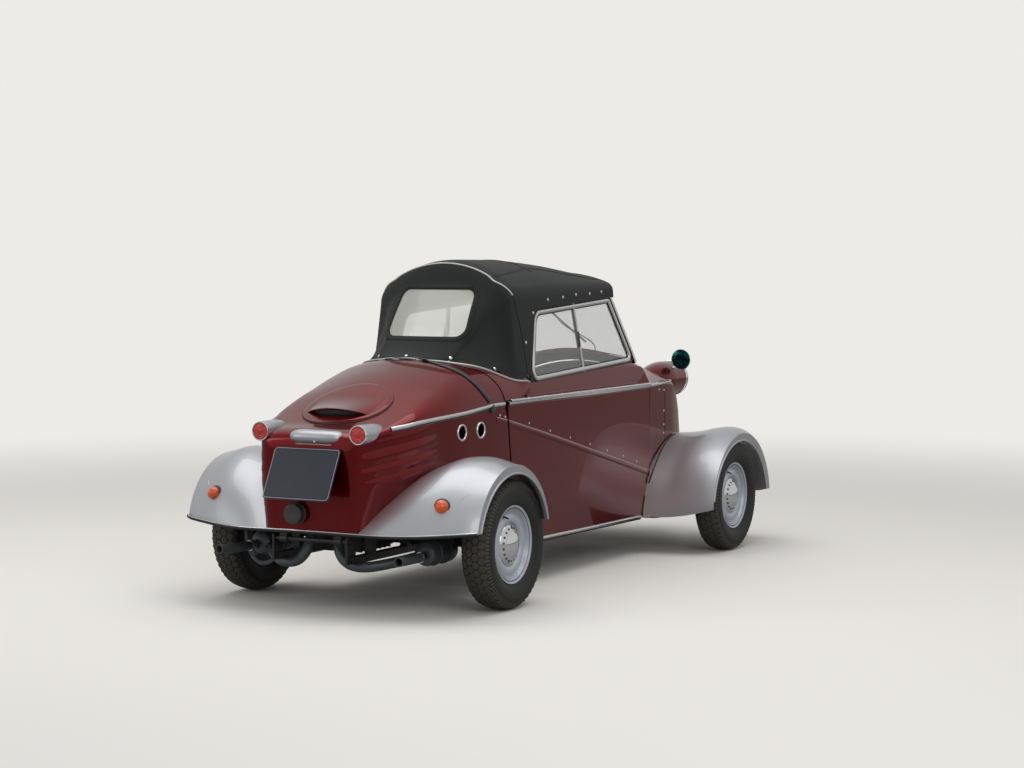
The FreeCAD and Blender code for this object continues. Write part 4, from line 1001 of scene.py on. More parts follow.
for endName, track, axle in (("front", 1.150, frontAxle), ("rear", 1.045, rearAxle)):
    for sideName, side in (("left", 1), ("right", -1)):
        wheel = endName + "_" + sideName
        centre = Vector((side * track / 2, axle, axleHeight))
        axis = Vector((side, 0, 0))
        body = "wheel_" + wheel
        profile = tyreSide + [(-a, r) for a, r in tyreSide[::-1]]
        ridesOn(turned("tyreCase_" + wheel, profile, centre, axis, rubber, 96, 44), body, "tyre_rubber",
                "tyre_" + wheel)
        angles = [2 * math.pi * i / wheelValues["pitches"] for i in range(wheelValues["pitches"])]
        facings = [Vector((0, math.sin(a), math.cos(a))) for a in angles]
        tread = fixings("tyreTread_" + wheel, [centre] * len(angles), facings, [axis] * len(angles),
                        treadHead, wornRubber, body, "tyre_rubber")
        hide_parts("tyre_" + wheel)
        ridesOn(turned("rimFace_" + wheel, rimFace, centre, axis, rimSilver, 96, 40), body, "rim_paint",
                "rim_" + wheel)
        ridesOn(turned("hubCapDome_" + wheel, capFace, centre, axis, chrome, 72, 28), body, "chrome",
                "hub_cap_" + wheel)
        spin = [2 * math.pi * i / wheelValues["capSlots"] for i in range(wheelValues["capSlots"])]
        arms = [Vector((0, math.sin(a), math.cos(a))) for a in spin]
        fixings("capSlots_" + wheel, [centre + axis * 0.0329 + arm * 0.0590 for arm in arms],
                [(axis * 0.78 + arm * 0.62).normalized() for arm in arms],
                [axis.cross(arm) for arm in arms], capSlot, darkTrimAndShade, body, "chrome")
        valveArm = Vector((0, 0.42, 0.907)).normalized()
        fixings("valve_" + wheel, [centre + axis * 0.022 + valveArm * 0.1155],
                [(axis * 0.8 - valveArm * 0.35).normalized()], [axis.cross(valveArm)], valveCap, rubber, body,
                "tyre_rubber")


# ---- side trim

flank = treeOf(nodes["side_panels"], canopy, nose, tail)
tailTree = treeOf(tail)
noseTree = treeOf(nose)
hoodTree = treeOf(hood)
# Where the side panel ends and the tail begins, at the belt and at the slanting seam.
beltEnd, seamEnd, seamEndHeight, seamStart, seamStartHeight = 562, 557, 626, 572, 629
moulding = [(0.0075, 0), (0.0075, 0.002), (0.005, 0.0052), (0.0015, 0.0062), (-0.0015, 0.0062),
            (-0.005, 0.0052), (-0.0075, 0.002), (-0.0075, 0)]
beltLine = mm((-331, beltEnd, 698), (-331, 500, 698), (-331, 300, 699.5), (-331, 0, 699), (-331, -300, 698),
              (-331, -560, 699), (-331, -690, 700))
noseBelt = mm((-331, -694, 700), (-326, -790, 702), (-312, -900, 703), (-292, -985, 703), (-272, -1040, 702))
tailBelt = mm((-330.5, 594, 698), (-330, 686, 697), (-330, 760, 692), (-324, 876, 681), (-311, 1036, 672),
              (-282, 1196, 658), (-250, 1272, 648))
for sideName, points in sidePoints:
    trim("beltMoulding_" + sideName, flank, points(beltLine), moulding, polished, "chassis", "chrome",
         out=0.0002)
    trim("noseMoulding_" + sideName, noseTree, points(noseBelt), moulding, polished, "chassis", "chrome",
         core=0.5)
    trim("tailMoulding_" + sideName, tailTree, points(tailBelt), moulding, polished, "tail", "chrome",
         core=0.5)
    trim("tailMouldingLine_" + sideName, tailTree, points([p - Vector((0, 0, 0.0115)) for p in tailBelt]),
         flatStrip(0.004, 0.0022), greyRubber, "tail", "dark_plastic", core=0.5)

# The lower panel's slanting seam and its screws.
seamLine = mm((-330, seamEnd, seamEndHeight), (-330, 224, 552), (-330, -216, 448), (-330, -690, 334))
screwLine = mm((-330, 396, 613), (-330, 224, 573), (-330, 52, 534),
               (-330, -124, 496), (-330, -280, 459), (-330, -432, 424), (-330, -560, 392))
for sideName, points, out in (("right", lambda line: line, Vector((-1, 0, 0))),
                              ("left", both, Vector((1, 0, 0)))):
    path = smoothLine(points(seamLine), 0.02)
    ridesOn(sweep("seamStrip_" + sideName, path, out, flatStrip(0.017, 0.0016), redPaint), "chassis",
            "body_paint")
    # Path of a dark strip just below the seam, which is a painted shadow.
    low = [p - Vector((0, 0, 0.0098)) for p in path]
    high = [p + Vector((0, 0, 0.0086)) for p in path]
    ridesOn(sweep("seamLight_" + sideName, high, out, domed(0.0028, 0.0018), polished), "chassis", "chrome")
    # The tail's own length of the seam, with its two screws.
    ownPath = smoothLine(points(mm((-330, seamStart, seamStartHeight), (-330, 650, 644))), 0.02)
    for label, shift, wide, tall, finish in (("Strip", 0, 0.017, 0.0016, redPaint),
                                             ("Light", 0.0086, 0.0028, 0.0018, polished)):
        lifted = [p + Vector((0, 0, shift)) for p in ownPath]
        tailPath, tailUps = layOn(tailTree, lifted, 0.02, 0.0003, core=0.5)
        ridesOn(sweep(f"tailSeam{label}_{sideName}", tailPath, tailUps, domed(wide, tall), finish), "tail",
                "body_paint")
    ownScrews = points(mm((-330, 626, 657), (-330, 586, 649)))
    hits = [tailTree.find_nearest(p) for p in ownScrews]
    fixings("tailSeamScrews_" + sideName, [hit[0] + out * 0.0006 for hit in hits], [out] * 2,
            [Vector((0, 0.7, 0.7))] * 2, screw,
            chrome, "tail", "chrome", 1.0, 0.04)
    # The dark strip below the seam is a painted shadow of its lip, not a real part.
    ridesOn(sweep("seamShadow_" + sideName, low, out, domed(0.0034, 0.0012), darkTrimAndShade), "chassis",
            "body_paint")
    spots = points(screwLine)
    fixings("seamScrews_" + sideName, [p + out * 0.0009 for p in spots], [out] * len(spots),
            [Vector((0, 0.7, 0.7))] * len(spots), screw, chrome, "chassis", "chrome", 1.0, 0.04)
    # Bright sill strip, with its rubber below.
    sill = points(mm((-330, 660, 168), (-330, 292, 167), (-330, -128, 162), (-330, -600, 158)))
    path = smoothLine(sill, 0.05)
    ridesOn(sweep("sillStrip_" + sideName, path, out, domed(0.014, 0.007), polished), "chassis", "chrome")
    path = [p - Vector((0, 0, 0.0085)) for p in path]
    ridesOn(sweep("sillRubber_" + sideName, path, out, domed(0.006, 0.004), rubber), "chassis", "tyre_rubber")

# The side panel's forward flap, laid over the nose as far as the front upright seam.
for sideName, side in sides:
    rows = []
    for y in np.linspace(-0.693, -0.856, 12):
        foot = 0.345 + (abs(y) - 0.693) * 0.75
        row = []
        for z in np.linspace(0.689, foot, 14):
            hit = noseTree.ray_cast(Vector((side * 0.5, y, z)), Vector((-side, 0, 0)))
            if hit[0] is None or abs(hit[0].x) < 0.2:
                hit = noseTree.find_nearest(Vector((side * 0.33, y, z)))
            normal = hit[1] if hit[1].x * side > 0 else -hit[1]
            row.append(hit[0] + normal * 0.0014)
        rows.append(row)
    flapSkin = gridMesh("noseFlap_" + sideName, rows, redPaint)
    outward(flapSkin)
    ridesOn(flapSkin, "chassis", "body_paint")
    edge = rows[-1]
    ridesOn(sweep("noseFlapEdge_" + sideName, edge, Vector((side, 0, 0)), domed(0.0032, 0.0014), darkTrimAndShade),
            "chassis", "body_paint")
    spots = [Vector((side * x, y, z)) for x, y, z in ((0.326, -0.792, 0.677), (0.326, -0.846, 0.672),
                                                      (0.325, -0.846, 0.585), (0.324, -0.846, 0.526),
                                                      (0.324, -0.846, 0.490))]
    flapTree = treeOf(flapSkin)
    hits = [flapTree.find_nearest(p) for p in spots]
    facings = [hit[1] if hit[1].x * side > 0 else -hit[1] for hit in hits]
    fixings("noseFlapScrews_" + sideName, [hit[0] for hit in hits], facings,
            [Vector((0, 0.7, 0.7))] * len(hits), screw, chrome, "chassis",
            "chrome", 1.0, 0.04)

# ---- strap over the tail

strapLine = mm((88, 741, 862), (0, 748, 862), (-88, 752, 858), (-160, 764, 846), (-223, 774, 824),
               (-275, 764, 784), (-309, 734, 742), (-327, 700, 712))
trim("hoodStrap", treeOf(canopy, tail), strapLine, flatStrip(0.020, 0.0034), greyRubber, "canopy",
     "dark_plastic", out=0.0015, core=0.5)
clip = mm((-331, 694, 697), (-331, 688, 688), (-331, 682, 678))
trim("strapClip", tailTree, clip, flatStrip(0.026, 0.006), darkPlastic, "tail", "dark_plastic", out=0.001,
     core=0.5)

# ---- wing beads and creases

def wingTree(prefix, sideName):
    return treeOf(bpy.data.objects[prefix + sideName + "_skin"])


frontEdge = mm((-331, -606, 158), (-331, -648, 244), (-339, -695, 325), (-338, -763, 400), (-330, -862, 462),
               (-326, -960, 484))
frontLower = mm((-331, -612, 157), (-411, -632, 166), (-498, -645, 180), (-570, -658, 196), (-634, -672, 212))
frontCrease = mm((-636, -1000, 470), (-634, -930, 474), (-628, -871, 464), (-612, -790, 442),
                 (-590, -752, 422))
rearCrease = mm((-597, 940, 508), (-596, 1010, 516), (-594, 1080, 504), (-584, 1140, 482), (-560, 1202, 456),
                (-522, 1267, 418))
for sideName, points in sidePoints:
    front, rear = wingTree("front_wing_", sideName), wingTree("rear_wing_", sideName)
    trim("frontWingEdge_" + sideName, front, points(frontEdge), domed(0.007, 0.004), rubber, "chassis",
         "tyre_rubber")
    trim("frontWingBead_" + sideName, front, points(frontLower), roundBar(0.0042), polished, "chassis",
         "chrome", out=0.001)
    trim("frontWingRubber_" + sideName, front, points([p + Vector((0, 0.004, -0.007)) for p in frontLower]),
         roundBar(0.003), rubber, "chassis", "tyre_rubber", out=0.001)
    trim("frontCrease_" + sideName, front, points(frontCrease), domed(0.0035, 0.0016), silverPaint, "chassis",
         "wing_paint")
    trim("rearCrease_" + sideName, rear, points(rearCrease), domed(0.0035, 0.0016), silverPaint, "tail",
         "wing_paint")

# The bead that runs under the tail and both rear wings.
rearBead = mm((-597, 1286, 303), (-560, 1318, 301), (-498, 1340, 296), (-402, 1370, 290), (-300, 1396, 288),
              (-180, 1405, 289), (-60, 1406, 290))
rearBead = smoothLine(rearBead + both(rearBead)[::-1], 0.02)
ridesOn(sweep("tailBead", rearBead, Vector((0, 0, 1)), roundBar(0.0062), rubber), "tail",
        "tyre_rubber")
ridesOn(sweep("tailBeadBright", [p + Vector((0, 0.004, 0.0055)) for p in rearBead], Vector((0, 0, 1)),
              roundBar(0.0026, 8), polished), "tail", "chrome")
for sideName, side in sides:
    # Rolled edges round the wheel openings.
    for prefix, body, axle in (("front", "chassis", frontAxle), ("rear", "tail", rearAxle)):
        inner = (frontWingGroups if prefix == "front" else rearWingGroups)[1][1]
        arc = circleThrough(*[(v[0] / 1000, v[1] / 1000) for v in inner[1:]], 60)
        path = [Vector((side * inner[0] / 1000, axle + y, z)) for y, z in arc]
        ridesOn(sweep(prefix + "ArchRoll_" + sideName, path, Vector((side, 0, 0)), roundBar(0.0042, 10),
                      silverPaint), body, "wing_paint")

# ---- vents

ventRadius = 0.0275
for sideName, side in sides:
    for index, (y, z) in enumerate(ventPlaces):
        loop = [Vector((side * 0.34, y + ventRadius * math.cos(a / 20 * math.pi),
                        z + ventRadius * math.sin(a / 20 * math.pi)))
                for a in range(40)]
        spots = []
        for p in loop:
            hit = tailTree.ray_cast(p, Vector((-side, 0, 0)))
            spots.append(hit[0] + hit[1] * 0.0004)
        ridesOn(sweep(f"ventRing_{sideName}_{index}", spots, Vector((side, 0, 0)), domed(0.0085, 0.0042),
                      polished, closed=True), "tail", "chrome")


# ---- tail fittings

lidValues = {"halfWidth": 0.165, "halfLength": 0.150, "scoopHalf": 0.124, "scoopFront": -0.05,
             "scoopBack": 0.106, "scoopRise": 0.031, "skin": 0.986}
lidY = rearAxle + 0.190


def tailTop(x, y, lift=0.0):
    hit = tailTree.ray_cast(Vector((x, y, 1.2)), Vector((0, 0, -1)))
    return hit[0] + hit[1] * lift if hit[0] else None


rings, spokes = 26, 96
rows = []
for i in range(spokes + 1):
    angle = 2 * math.pi * i / spokes
    row = []
    for j in range(rings + 1):
        share = 0.002 + 0.998 * j / rings
        x = lidValues["halfWidth"] * lidValues["skin"] * share * math.cos(angle)
        y = lidY + lidValues["halfLength"] * lidValues["skin"] * share * math.sin(angle)
        spot = tailTop(x, y, 0.0062 - 0.004 * max(0.0, (share - 0.94) / 0.06) ** 2)
        row.append(spot)
    rows.append(row)
lidSkin = gridMesh("lidSkin", rows, redPaint)
thicken(lidSkin, 0.004)
crisp(lidSkin, 40)
ridesOn(lidSkin, "engine_hatch", "body_paint")
rows = []
for i in range(25):
    x = lidValues["scoopHalf"] * (i / 12 - 1)
    back = lidValues["scoopBack"] * (1 - 0.35 * (i / 12 - 1) ** 2)
    row = []
    for j in range(21):
        y = lidY + lidValues["scoopFront"] + (back - lidValues["scoopFront"]) * j / 20
        spot = tailTop(x, y, 0.0066)
        share = (j / 20) ** 1.6
        row.append(spot + Vector((0, 0, lidValues["scoopRise"] * share * (1 - (i / 12 - 1) ** 2))))
    rows.append(row)
scoop = gridMesh("lidScoop", rows, redPaint)
thicken(scoop, 0.003)
crisp(scoop, 40)
ridesOn(scoop, "engine_hatch", "body_paint")
# A dark sheet across the scoop's mouth is painted shade, standing for the shaded opening behind it.
rows = []
for i in range(25):
    x = lidValues["scoopHalf"] * 0.965 * (i / 12 - 1)
    back = lidValues["scoopBack"] * (1 - 0.35 * (i / 12 - 1) ** 2) - 0.012
    low = tailTop(x, lidY + back, 0.004)
    high = tailTop(x, lidY + back, 0.006) + Vector((0, 0, (lidValues["scoopRise"] - 0.003)
                                                    * (1 - (i / 12 - 1) ** 2)))
    rows.append([low, low.lerp(high, 0.5), high])
scoopShade = gridMesh("lidScoopHollow", rows, darkTrimAndShade)
thicken(scoopShade, 0.002)
ridesOn(scoopShade, "engine_hatch", "dark_plastic")
edge = [tailTop(lidValues["halfWidth"] * math.cos(a * math.pi / 48), lidY + lidValues["halfLength"]
                * math.sin(a * math.pi / 48), 0.0008) for a in range(96)]
ridesOn(sweep("lidSeal", edge, Vector((0, 0, 1)), domed(0.005, 0.0024), rubber, closed=True), "tail",
        "tyre_rubber")

# Tail lamps: a bullet shell, a bright rim and a ribbed lens.
shell = [(-44, 0), (-42, 8), (-35, 17), (-22, 25.5), (-4, 31.5), (20, 34.2), (52, 35), (92, 34.6),
         (110, 33.8), (114, 33), (115.5, 31.5), (115, 30), (108, 29.4), (104, 0)]
rim = [(109, 33.2), (115, 34.4), (118.4, 33.6), (119.4, 31.6), (118.2, 29.6), (113, 28.8)]
lens = [(104, 29), (114, 29), (117.5, 26.6), (119.2, 23), (118.6, 21.4), (119.4, 16), (118.9, 14.6),
        (119.8, 8), (119.9, 0)]
for sideName, side in sides:
    base = Vector((side * 0.200, rearAxle + 0.330, 0.634))
    axis = Vector((0, 1, 0))
    ridesOn(turned("tailLampShell_" + sideName, shell, base, axis, silverPaint, 64), "tail", "wing_paint",
            "tail_lamps")
    ridesOn(turned("tailLampRim_" + sideName, rim + rim[:1], base, axis, chrome, 64), "tail", "chrome")
    ridesOn(turned("tailLampLens_" + sideName, lens, base, axis, redLens, 64, 24), "tail", "red_lens")
    ridesOn(turned("tailLampEye_" + sideName, [(119, 0), (119, 8.5), (120.6, 7.6), (121.2, 4), (121.4, 0)],
                   base, axis, redLens, 32), "tail", "red_lens")
    foot = Vector((side * 0.466, rearAxle + 0.330, 0.390))
    lean = Vector((side * 0.25, 1, 0.25)).normalized()
    ridesOn(turned("indicatorBase_" + sideName, [(0, 29), (8, 30), (12, 29.4), (14.5, 27), (16, 24), (14, 0)],
                   foot, lean, darkPlastic, 48), "tail", "chrome", "rear_indicators")
    ridesOn(turned("indicatorLens_" + sideName,
                   [(13, 24.2), (19, 23.8), (26, 22), (32, 18), (36.6, 11.4), (37.8, 8.4),
                   (38.6, 7.0), (39, 0)], foot, lean, amberLens, 48, 24), "tail", "amber_lens")

# Plate lamp: a rounded capsule with its lens below.
rows = []
for i in range(33):
    u = i / 16 - 1
    swell = (1 - abs(u) ** 5) ** 0.5
    x = -0.018 + u * 0.110
    row = []
    for j in range(17):
        angle = math.pi * j / 16
        row.append(Vector((x, rearAxle + 0.408 + 0.050 * swell * math.sin(angle) ** 0.7,
                           0.6195 - 0.0262 * swell * math.cos(angle)
                           * (1.0 if angle > math.pi / 2 else 0.94))))
    rows.append(row)
lampShell = gridMesh("plateLampShell", rows, silverPaint, closed=True, ends=True)
ridesOn(crisp(lampShell, 50), "tail", "wing_paint", "plate_lamp")
fixings("plateLampScrew", [Vector((-0.030, rearAxle + 0.4558, 0.606))], [Vector((0, 0.98, -0.2))],
        [Vector((1, 0, 0))], screw, chrome, "tail", "chrome")
glow = prism("plateLampLens", rounded([(-0.093, rearAxle + 0.412), (0.057, rearAxle + 0.412),
                                       (0.057, rearAxle + 0.447), (-0.093, rearAxle + 0.447)], [0.008] * 4),
             "z", 0.5945, 0.5985, vinyl)
ridesOn(glow, "tail", "pane")

# Number plate: blank face in a pale edge, on two screws; the socket below with its flap.
plateNormal = Vector((0, 0.894427, 0.447214))
plateUp = Vector((0, -0.447214, 0.894427))
plateMiddle = Vector((0, rearAxle + 0.493, 0.497)) + plateNormal * 0.0012


def onPlate(u, v, out=0.0):
    return plateMiddle + Vector((u, 0, 0)) + plateUp * v + plateNormal * out


loop = [onPlate(u, v) for u, v in rounded([(-0.131, -0.092), (0.131, -0.092), (0.131, 0.092),
                                           (-0.131, 0.092)], [0.012] * 4)]
ridesOn(sweep("plateEdge", loop, plateNormal, domed(0.0028, 0.0014), plateRim, closed=True), "tail",
        "plate_dark")
face = [onPlate(u, v, 0.0006) for u, v in rounded([(-0.127, -0.088), (0.127, -0.088), (0.127, 0.088),
                                                   (-0.127, 0.088)], [0.010] * 4)]
plateSkin = addMesh("plateFace", face, [tuple(range(len(face)))], plateFace, smooth=False)
thicken(plateSkin, 0.001)
ridesOn(plateSkin, "tail", "plate_dark")
fixings("plateScrews", [onPlate(-0.1, 0.074, 0.0012), onPlate(0.1, 0.074, 0.0012)], [plateNormal] * 2,
        [Vector((1, 0, 0))] * 2, screw, darkPlastic, "tail", "dark_plastic")
socketSpot, back = Vector((0.050, rearAxle + 0.4443, 0.354)), Vector((0, 1, 0))
ridesOn(turned("socketBody", [(0, 38), (3, 38), (4, 36.8), (5, 33), (18, 32.2), (20, 33.6), (26, 33.6),
                              (28, 32.4), (28.4, 0)], socketSpot, back, darkPlastic, 48), "tail",
        "dark_plastic", "trailer_socket")
ridesOn(turned("socketFlap", [(27.4, 35), (30, 35.6), (31.6, 34.2), (32.4, 30), (33.4, 18), (33.0, 15),
                              (33.8, 0)], socketSpot, back, greyRubber, 48), "tail", "dark_plastic")
hinge = turned("socketHinge", [(-14, 0), (-14, 4.4), (14, 4.4), (14, 0)],
               socketSpot + Vector((0, 0.029, 0.036)), (1, 0, 0),
               darkPlastic, 16)
ridesOn(hinge, "tail", "dark_plastic")
around = [Vector((math.cos(a), 0, math.sin(a))) for a in (0.5, 2.6, 4.7)]
fixings("socketScrews", [socketSpot + back * 0.0032 + arm * 0.0352 for arm in around], [back] * 3,
        [Vector((1, 0, 0))] * 3, screw, darkPlastic, "tail", "dark_plastic", 0.62)


# ---- windows

inner = [(0.0098, -0.0136), (0.0098, -0.0032), (0.0082, -0.0008), (0.0045, 0.0008), (0, 0.0013),
         (-0.0045, 0.0008), (-0.0082, -0.0008), (-0.0098, -0.0032), (-0.0098, -0.0136)]
barShape = [(0.006, -0.0136), (0.006, -0.003), (0.0048, -0.0006), (0.0016, 0), (0.0010, -0.0016),
            (-0.0010, -0.0016), (-0.0016, 0), (-0.0048, -0.0006), (-0.006, -0.003), (-0.006, -0.0136)]
for sideName, side in sides:
    away = (onWindow(0, 0, 1, side) - onWindow(0, 0, 0, side)).normalized()

    def onGlass(outline, out=0.0):
        return [onWindow(y, z, out, side) for y, z in outline]

    frameRing = sweep("windowFrame_" + sideName, onGlass(windowOutline(-0.010, 10)), away, inner, polished,
                      closed=True)
    ridesOn(frameRing, "canopy", "frame_metal", "window_frames")
    foot, head = (-0.0975, -0.006), (-0.0655, 0.276)
    bar = sweep("windowBar_" + sideName, onGlass([foot, ((foot[0] + head[0]) / 2, 0.135), head]), away,
                barShape, polished)
    ridesOn(bar, "canopy", "frame_metal", "window_frames")
    ridesOn(sweep("windowSeal_" + sideName, onGlass(windowOutline(-0.0208, 10), -0.0042), away,
                  roundBar(0.0022, 8), rubber, closed=True), "canopy", "tyre_rubber")
    ridesOn(sweep("windowGasket_" + sideName, onGlass(windowOutline(0.0015, 10), -0.003), away,
                  roundBar(0.003, 8), rubber, closed=True), "canopy", "tyre_rubber")
    for name, y0, y1, z in (("Slide", -0.47, -0.11, 0.1465), ("Grip", -0.075, -0.055, 0.13)):
        if name == "Grip":
            line = onGlass([(y0, z - 0.03), (y0, z + 0.03)], -0.001)
            ridesOn(sweep("window" + name + "_" + sideName, line, away, flatStrip(0.008, 0.005), darkPlastic),
                    "canopy", "dark_plastic")

# Windscreen surround and seal, between the two bows of the glass.
low = [Vector((0.306 * t, -0.655 + 0.065 * t * t, 0.8325 - 0.0265 * t * t)) for t in np.linspace(-1, 1, 25)]
high = [Vector((0.272 * t, -0.482 + 0.058 * t * t, 1.156 - 0.088 * t * t)) for t in np.linspace(1, -1, 25)]
leftPost = [low[-1].lerp(high[0], t) for t in np.linspace(0, 1, 9)[1:-1]]
rightPost = [high[-1].lerp(low[0], t) for t in np.linspace(0, 1, 9)[1:-1]]
screenLoop = low + leftPost + high + rightPost
ahead = Vector((0, -0.885, 0.465))
surround = [(0.0095, -0.009), (0.0095, 0.003), (0.007, 0.0066), (0, 0.0078), (-0.007, 0.0066),
            (-0.0095, 0.003), (-0.0095, -0.009)]
ridesOn(sweep("screenSurround", screenLoop, ahead, surround, polished, closed=True), "canopy", "frame_metal")
middle = sum(screenLoop, Vector()) / len(screenLoop)
sealLoop = [p + (middle - p).normalized() * 0.0115 + ahead * 0.0022 for p in screenLoop]
ridesOn(sweep("screenSeal", sealLoop, ahead, roundBar(0.0032, 8), rubber, closed=True), "canopy",
        "tyre_rubber")
wiperFoot = Vector((-0.09, -0.668, 0.826))
wiper = smoothLine([wiperFoot, wiperFoot + Vector((0.02, -0.006, 0.05)), Vector((0.02, -0.603, 0.945)),
                    Vector((0.05, -0.577, 0.985))], 0.02)
ridesOn(sweep("wiperArm", wiper, ahead, flatStrip(0.006, 0.003), chrome), "canopy", "chrome")
blade = smoothLine([Vector((-0.055, -0.640, 0.874)), Vector((0.035, -0.5905, 0.962)),
                    Vector((0.115, -0.541, 1.048))], 0.02)
ridesOn(sweep("wiperBlade", [p + ahead * 0.009 for p in blade], ahead,
              [(0.001, -0.006), (0.0022, 0.003), (0, 0.005), (-0.0022, 0.003),
                                                (-0.001, -0.006)], rubber), "canopy", "tyre_rubber")
ridesOn(turned("wiperPost", [(-8, 0), (-8, 9), (6, 8), (12, 6), (14, 0)], wiperFoot, ahead, chrome, 24),
        "canopy", "chrome")

# ---- hood seams, bead and studs

hemPath = mm((0, 757, 864), (99, 745, 858), (133, 731, 853), (176, 711, 846), (233, 663, 838),
             (291, 574, 806), (312, 487, 781), (321, 370, 766))
hemPath = smoothLine(both(hemPath)[::-1] + hemPath[1:], 0.01)
bodyTree = treeOf(canopy)
trim("hoodBead", bodyTree, hemPath[::3], roundBar(0.0042, 10, 0.002), piping, "canopy", "hood_cloth",
     core=0.5)
trim("hoodHem", bodyTree, hemPath[::3], roundBar(0.003, 8, 0.001), rubber, "canopy", "hood_cloth", out=0.0,
     core=0.5)
pipingPath = mm((0, 458, 1214), (40, 458, 1212), (80, 458, 1206), (118, 458, 1196), (153, 458, 1184),
                (190, 459, 1171), (220, 463, 1152), (238, 457, 1130), (248, 449, 1112), (259, 441, 1093),
                (263, 436, 1078))
pipingPath = both(pipingPath)[:0:-1] + pipingPath
trim("hoodPiping", hoodTree, pipingPath, roundBar(0.0036, 10, 0.0022), piping, "canopy", "hood_cloth",
     core=0.8)
flap = flatStrip(0.012, 0.0016, 0.0008)
stitchPitch = 0.0072
seams = {
    "rearLeft": mm((265, 430, 1070), (276, 412, 1010), (287, 396, 940), (300, 385, 860), (310, 378, 800)),
    "sideLeft": mm((205, 430, 1166), (191, 290, 1180), (165, 110, 1194), (166, 26, 1192), (176, -62, 1184),
                   (190, -160, 1170),
                   (200, -260, 1148), (206, -380, 1110)),
    "roof": mm((-196, 120, 1185), (-120, 114, 1212), (0, 112, 1221), (120, 114, 1212), (196, 120, 1185),
               (250, 128, 1150),
               (280, 134, 1100), (288, 138, 1086)),
    "frontHem": mm((-262, -420, 1085), (-200, -432, 1124), (-100, -455, 1152), (0, -464, 1160),
                   (100, -455, 1152), (200, -432, 1124),
                   (262, -420, 1085))}
for label, line in seams.items():
    for mirrorIt in ((False, True) if "Left" in label else (False,)):
        name = label.replace("Left", "Right") if mirrorIt else label
        points = both(line) if mirrorIt else line
        path, ups = layOn(hoodTree, points, 0.01, 0.0, core=0.8)
        ridesOn(sweep("hoodSeam_" + name, path, ups, flap, hoodCloth), "canopy", "hood_cloth")
        for row, shift in (("a", 0.0042), ("b", -0.0042)):
            side = [path[min(i + 1, len(path) - 1)] - path[max(i - 1, 0)] for i in range(len(path))]
            stitchLine = [p + s.normalized().cross(u) * shift + u * 0.0018
                          for p, s, u in zip(path, side, ups)]
            fixings(f"hoodStitch_{name}_{row}", *rowAlong(stitchLine, ups, stitchPitch), stitch, threadDark,
                    "canopy", "hood_cloth", 1.0, 0.08)
# Stitched edges: round the rear window, and twice along the hem.
ring = [Vector((x, 0.70, z)) for x, z in rounded([(-0.176, 0.933), (0.176, 0.933), (0.163, 1.126),
                                                  (-0.163, 1.126)], [0.04] * 4, 10)]
ring = smoothLine(ring, 0.008, True)
spots, ups = [], []
for p in ring:
    hit = hoodTree.ray_cast(p, Vector((0, -1, 0)))
    if hit[0] is not None:
        spots.append(hit[0] + hit[1] * 0.0006)
        ups.append(hit[1])
ridesOn(sweep("windowBinding", spots, calm(ups, True), flatStrip(0.016, 0.0012, 0.0006), hoodCloth,
              closed=True), "canopy", "hood_cloth")
for row, shift in (("a", 0.006), ("b", -0.006)):
    middle = sum(spots, Vector()) / len(spots)
    line = [p + (p - middle).normalized() * shift + u * 0.0013 for p, u in zip(spots, ups)]
    fixings("windowStitch_" + row, *rowAlong(line + line[:1], ups + ups[:1], 0.0068), stitch, threadDark,
            "canopy", "hood_cloth", 1.0, 0.08)
for row, lift in (("a", 0.026), ("b", 0.034)):
    raised = [p + Vector((0, -0.012, lift)) for p in hemPath[4:-4:3]]
    path, ups = layOn(hoodTree, raised, 0.01, 0.0006, core=0.84)
    fixings("hemStitch_" + row, *rowAlong(path, ups, stitchPitch), stitch, threadDark, "canopy", "hood_cloth",
            1.0, 0.08)
studSpots = mm((9, 738, 880), (157, 686, 868), (281, 566, 826), (316, 392, 790))
studSpots += both(studSpots[1:])
found, facing = [], []
for p in studSpots:
    middle = Vector((0, p.y - 0.05, 0.84))
    inward = (middle - p).normalized()
    hit = hoodTree.ray_cast(p - inward * 0.1, inward)
    if hit[0] is not None:
        found.append(hit[0])
        facing.append(hit[1])
for sideName, side in sides:
    for y, z in ((0.372, 0.133), (0.296, 0.243), (0.168, 0.291), (0.038, 0.298), (-0.078, 0.306),
                 (-0.203, 0.308), (-0.314, 0.314)):
        outside, inside = onWindow(y, z, 0.1, side), onWindow(y, z, -0.1, side)
        hit = hoodTree.ray_cast(outside, (inside - outside).normalized())
        if hit[0] is not None:
            found.append(hit[0])
            facing.append(hit[1])
fixings("hoodStuds", found, facing, [Vector((0, 1, 0.01))] * len(found), stud, chrome, "canopy", "chrome",
        1.0, 0.03)


# ---- exhaust

